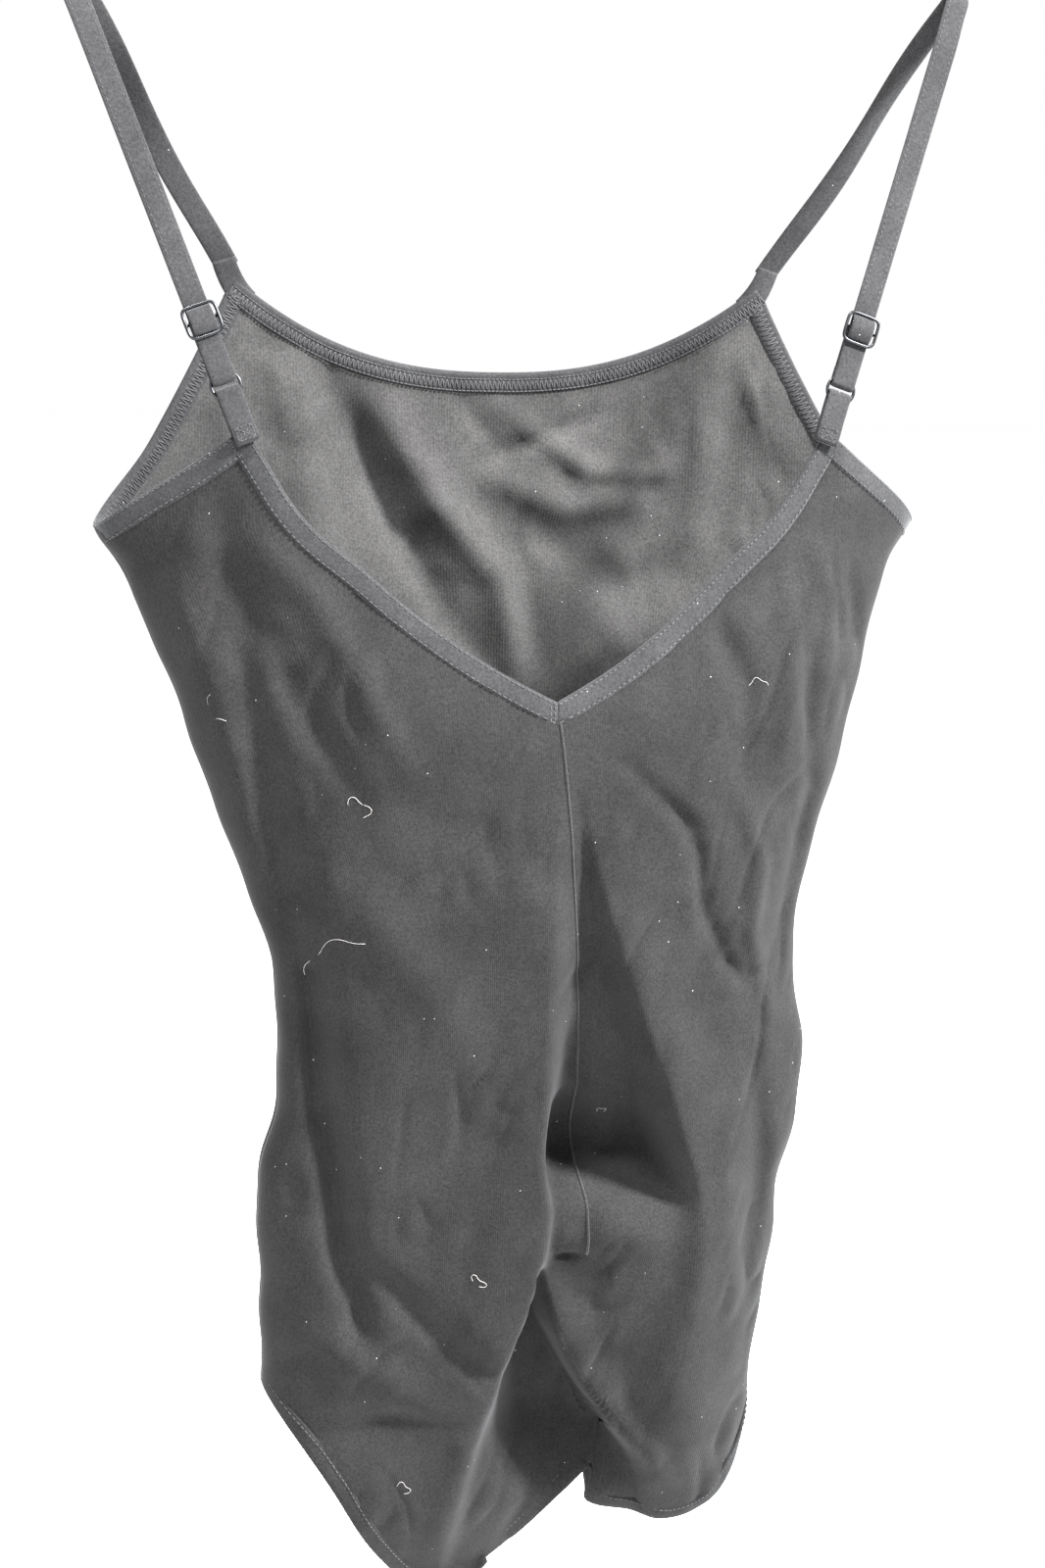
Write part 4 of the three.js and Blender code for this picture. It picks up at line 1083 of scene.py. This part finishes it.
strap_outline = flat_round(STRAP_WIDTH, STRAP_THICK, power=STRAP_EDGE_POWER)
join_outline = flat_round(STRAP_WIDTH + 0.0006, 0.0024, power=4)
for name, sign in SIDES.items():
    frames = as_arrays(strap_line, sign)
    strap = strip(f"strap_{name}_cloth", frames, strap_outline, TRIM)
    settle(strap, "trim", f"strap_{name}", f"strap_{name}")
    sewn = rows_of_stitches(tuple(a[2:104] for a in frames), (-0.0036, 0.0036), STRAP_THICK / 2)
    settle(threads(f"strap_{name}_stitches", sewn, THREAD, 0.0002), "trim", f"strap_{name}")

    narrowing = 1.0 - 0.06 * smoothstep(np.linspace(0, 1, JOIN_STEPS), 0.0, 0.9)
    join = strip(f"strap_join_{name}_cloth", join_frames(sign), join_outline, TRIM, taper=narrowing)
    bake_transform(join)
    settle(join, "trim", None, f"strap_join_{name}")

# %% [markdown]
# ## Ring tabs
# A tab is a short doubled loop of strap, sewn to the back corner with a boxed cross of stitches. The strap
# and the tab fold round the same ring from above and below, and nearly meet at the ring's middle.

# %% Tabs and their tacks
TAB_FOLD = 2 * RING_ABOVE_CORNER - STRAIGHT_TO
TACK_OFF = 0.0021 + STRAP_THICK / 2
TACK_BOX = [(-0.0036, -0.0048), (0.0036, -0.0048), (0.0036, 0.0006), (-0.0036, 0.0006)]
TACK_LINES = [(0, 1), (1, 2), (2, 3), (3, 0), (0, 2), (1, 3)]
TACK_PARTS = 4


def tack_stitches(sign):
    """Each line of the boxed cross as a few stitches with small gaps."""
    mirror = Vector((sign, 1, 1))
    found = []
    for first, last in TACK_LINES:
        (a0, d0), (a1, d1) = TACK_BOX[first], TACK_BOX[last]
        for k in range(TACK_PARTS):
            ends = []
            for t in (k / TACK_PARTS + 0.02, (k + 1) / TACK_PARTS - 0.02):
                a, d = a0 + (a1 - a0) * t, d0 + (d1 - d0) * t
                place = BACK_CORNER + RUN_UP * d + RUN_ACROSS * a + RUN_OUT * TACK_OFF
                ends.append(place * mirror)
            found.append((ends[0], ends[1], RUN_OUT * mirror))
    return found


outer_layer = ((-0.0065, 0.0022), (-0.003, 0.0021), (0.001, 0.0019), (0.005, 0.0015), (0.009, LAYER))
inner_layer = ((0.009, LAYER), (0.005, 0.0010), (0.001, 0.0014), (-0.003, 0.0019), (-0.0065, 0.0020))
tab_line = [back_frame(d, off, RUN_OUT) for d, off in outer_layer]
tab_line += fold_frames(TAB_FOLD, 0, LAYER, 0, 180, 12)
tab_line += [back_frame(d, -off, -RUN_OUT) for d, off in inner_layer]
for name, sign in SIDES.items():
    tab = strip(f"ring_tab_{name}_cloth", as_arrays(tab_line, sign), strap_outline, TRIM)
    tacks = threads(f"ring_tab_{name}_stitches", tack_stitches(sign), THREAD, 0.00026)
    for piece, nodes in ((tab, (f"ring_tab_{name}",)), (tacks, ())):
        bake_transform(piece)
        settle(piece, "trim", None, *nodes)

# %% [markdown]
# ## The straps' folded ends
# From the ring the strap's end runs back up inside, and folds round the slider's middle bar.

# %% Strap ends
BAR_OFF = -0.0009
END_RADIUS = 0.0014
end_places = np.linspace(STRAIGHT_TO + 0.006, SLIDER_AT - 0.003, 8)
end_line = [back_frame(d, -LAYER - 0.0002, -RUN_OUT) for d in end_places]
end_line += fold_frames(SLIDER_AT, BAR_OFF, END_RADIUS, 180, 0, 10)[1:-1]
end_line += [back_frame(SLIDER_AT - d, BAR_OFF - 0.0002, RUN_OUT) for d in (0.0005, 0.0015)]
end_outline = flat_round(STRAP_WIDTH - 0.0004, 0.0011, power=STRAP_EDGE_POWER)
for name, sign in SIDES.items():
    folded = strip(f"strap_end_{name}_cloth", as_arrays(end_line, sign), end_outline, TRIM)
    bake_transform(folded)
    settle(folded, "trim", None, f"strap_end_{name}")
print("strap end frames", len(end_line))

# %% [markdown]
# ## Rings
# A ring is one turn of thin wire. It stands square to the strap's back run, half above and half below the
# folds.

# %% Rings
WIRE, RING_RADIUS = 0.0007, 0.0062
UP, OUT, ACROSS = (np.array(v) for v in (RUN_UP, RUN_OUT, RUN_ACROSS))


def wire_loop(name, points, outs, material, radius=WIRE, closed=True, around=12):
    place = np.array(points)
    along = along_path(place, closed)
    out = unit(np.array(outs))
    within = unit(np.cross(out, along))
    turns = np.linspace(0, 2 * np.pi, around, endpoint=False)
    outline = np.stack([np.cos(turns), np.sin(turns)], axis=1) * radius
    return strip(name, (place, along, within, out), outline, material, closed=closed)


def hardware_place(up, across, out, sign):
    """A place beside the strap's back run, measured from the back corner."""
    return mirrored(np.array(BACK_CORNER) + UP * up + ACROSS * across + OUT * out, sign)


for name, sign in SIDES.items():
    turns = np.linspace(0, 2 * np.pi, 64, endpoint=False)
    ring_points = [hardware_place(RING_ABOVE_CORNER + RING_RADIUS * math.sin(t),
                                  RING_RADIUS * math.cos(t), 0, sign)
                   for t in turns]
    ring = wire_loop(f"ring_{name}_wire", ring_points, [mirrored(OUT, sign)] * 64, METAL)
    settle(ring, "hardware", f"ring_{name}", f"ring_{name}")
print("ring across, outside", 2 * (RING_RADIUS + WIRE))

# %% [markdown]
# ## Sliders
# A slider is a rounded frame of the ring's wire, with a bar across its middle that is bowed back behind the
# strap.

# %% Sliders
SLIDER_HALF_WIDTH, SLIDER_HALF_HEIGHT = 0.0073, 0.0066
SLIDER_OFF = LAYER + STRAP_THICK / 2 + WIRE + 0.0004
BAR_RADIUS = 0.0006
ROUNDED = 2 / 5
for name, sign in SIDES.items():
    outline = []
    for t in np.linspace(0, 2 * np.pi, 72, endpoint=False):
        c, s = math.cos(t), math.sin(t)
        across = math.copysign(abs(c) ** ROUNDED, c) * SLIDER_HALF_WIDTH
        height = math.copysign(abs(s) ** ROUNDED, s) * SLIDER_HALF_HEIGHT
        outline.append(hardware_place(SLIDER_AT + height, across, SLIDER_OFF, sign))
    slider = wire_loop(f"slider_{name}_frame", outline, [mirrored(OUT, sign)] * 72, METAL)
    bar_points = []
    for t in np.linspace(-1, 1, 25):
        sink = (1 - abs(t) ** 6) * (SLIDER_OFF - BAR_OFF)
        bar_points.append(hardware_place(SLIDER_AT, t * SLIDER_HALF_WIDTH, SLIDER_OFF - sink, sign))
    bar = wire_loop(f"slider_{name}_bar", bar_points, [mirrored(UP, sign)] * 25, METAL, radius=BAR_RADIUS,
                    closed=False)
    settle(slider, "hardware", f"slider_{name}", f"slider_{name}")
    settle(bar, "hardware", f"slider_{name}")
print("slider, outside", 2 * (SLIDER_HALF_WIDTH + WIRE), "by", 2 * (SLIDER_HALF_HEIGHT + WIRE))

# %% [markdown]
# ## The strap's arch in the slider
# Between the slider's two outer bars the strap swells up over the middle one. That short arch of cloth
# rides on the slider, so that it moves along with it.

# %% Arched cloth
ARCH_HALF, ARCH_RISE, ARCH_LEAN = 0.0054, 0.0022, 0.45
ARCH_BASE = LAYER + STRAP_THICK / 2 + 0.00072
arch = []
for t in np.linspace(-1, 1, 21):
    lift = ARCH_BASE + ARCH_RISE * math.cos(t * math.pi / 2) ** 0.8
    tilt = RUN_OUT + RUN_UP * ARCH_LEAN * t
    arch.append((on_run(SLIDER_AT + t * ARCH_HALF, lift), RUN_UP, RUN_ACROSS, tilt.normalized()))
arch_outline = flat_round(STRAP_WIDTH - 0.0001, 0.0009, power=4)
for name, sign in SIDES.items():
    bulge = strip(f"slider_{name}_strap_bulge", as_arrays(arch, sign), arch_outline, TRIM)
    settle(bulge, "trim", f"slider_{name}")
print("arch rises", ARCH_RISE, "above the strap")

# %% [markdown]
# ## Lint
# Black cotton never stays clean. A few pale curled hairs lie on the back. Each one is a thin wire that
# wanders over the cloth's own surface, from a start, with a heading that turns steadily.

# %% Curled hairs
HAIR_STEPS = 26
HAIR_RADIUS = 0.00009


def hair(name, x, z, heading, length, curl):
    xs, zs = [x], [z]
    for i in range(HAIR_STEPS):
        heading += math.radians(curl) / HAIR_STEPS * (1.0 + 2.6 * math.sin(i * 0.45 + curl))
        xs.append(xs[-1] + math.cos(heading) * length / HAIR_STEPS)
        zs.append(zs[-1] + math.sin(heading) * length / HAIR_STEPS)
    share, up = on_cloth(BACK, xs, zs)
    places = soften(cloth(BACK, share, up), 2) + np.array([0, 0.0006, 0])
    outs = [(0, 1, 0)] * len(places)
    return wire_loop(name, places, outs, HAIR, radius=HAIR_RADIUS, closed=False, around=6)


# Each hair's start (x, z), heading, length and curl.
HAIRS = [(0.138, -0.312, 0.2, 0.018, 160), (0.083, -0.352, 2.3, 0.020, -190),
         (0.104, -0.425, 0.9, 0.036, 120), (0.030, -0.566, 3.0, 0.016, -240),
         (0.012, -0.624, 0.4, 0.022, 170), (0.062, -0.668, 2.0, 0.015, 200),
         (-0.030, -0.496, 1.2, 0.008, 200), (-0.098, -0.300, 1.9, 0.012, -150)]
for i, one in enumerate(HAIRS):
    settle(hair(f"lint_hair_{i + 1}", *one), "jersey", "leotard")
print("hairs", len(HAIRS))

# %% [markdown]

# %% [markdown]
# ## Light and floor
# The light is a bright studio: a white surround, a small strong lamp high on the right, a weaker one from
# above, and a faint broad one on the left. The small lamps give the folds their edges, and the surround
# keeps the black cloth open.

# %% Studio
world = bpy.data.worlds.new("studio")
bpy.context.scene.world = world
world.use_nodes = True
surround = next(n for n in world.node_tree.nodes if n.type == "BACKGROUND")
surround.inputs["Color"].default_value = (1, 1, 1, 1)
surround.inputs["Strength"].default_value = 1.0
bpy.context.scene.view_settings.view_transform = "Standard"


def lamp(name, place, energy, size):
    light = bpy.data.lights.new(name, "AREA")
    light.energy, light.size = energy, size
    piece = bpy.data.objects.new(name, light)
    bpy.context.collection.objects.link(piece)
    piece.location = place
    piece.rotation_euler = (CAMERA_TARGET - Vector(place)).to_track_quat("-Z", "Y").to_euler()


lamp("key", (-1.35, 0.95, 1.05), 395, 0.3)
lamp("fill", (1.4, 1.3, 0.3), 20, 1.2)
lamp("top", (0.45, 0.70, 1.6), 125, 0.35)

bm = bmesh.new()
bmesh.ops.create_circle(bm, cap_ends=True, segments=96, radius=30)
FLOOR, floor_surface, _, _ = shader("pale floor", 0.9)
floor_surface.inputs["Base Color"].default_value = (0.995, 0.995, 0.995, 1)
floor = new_piece("floor", bm, FLOOR, smooth=False)
floor.location.z = -1.05
print("lamps", len(bpy.data.lights), "floor at", floor.location.z)
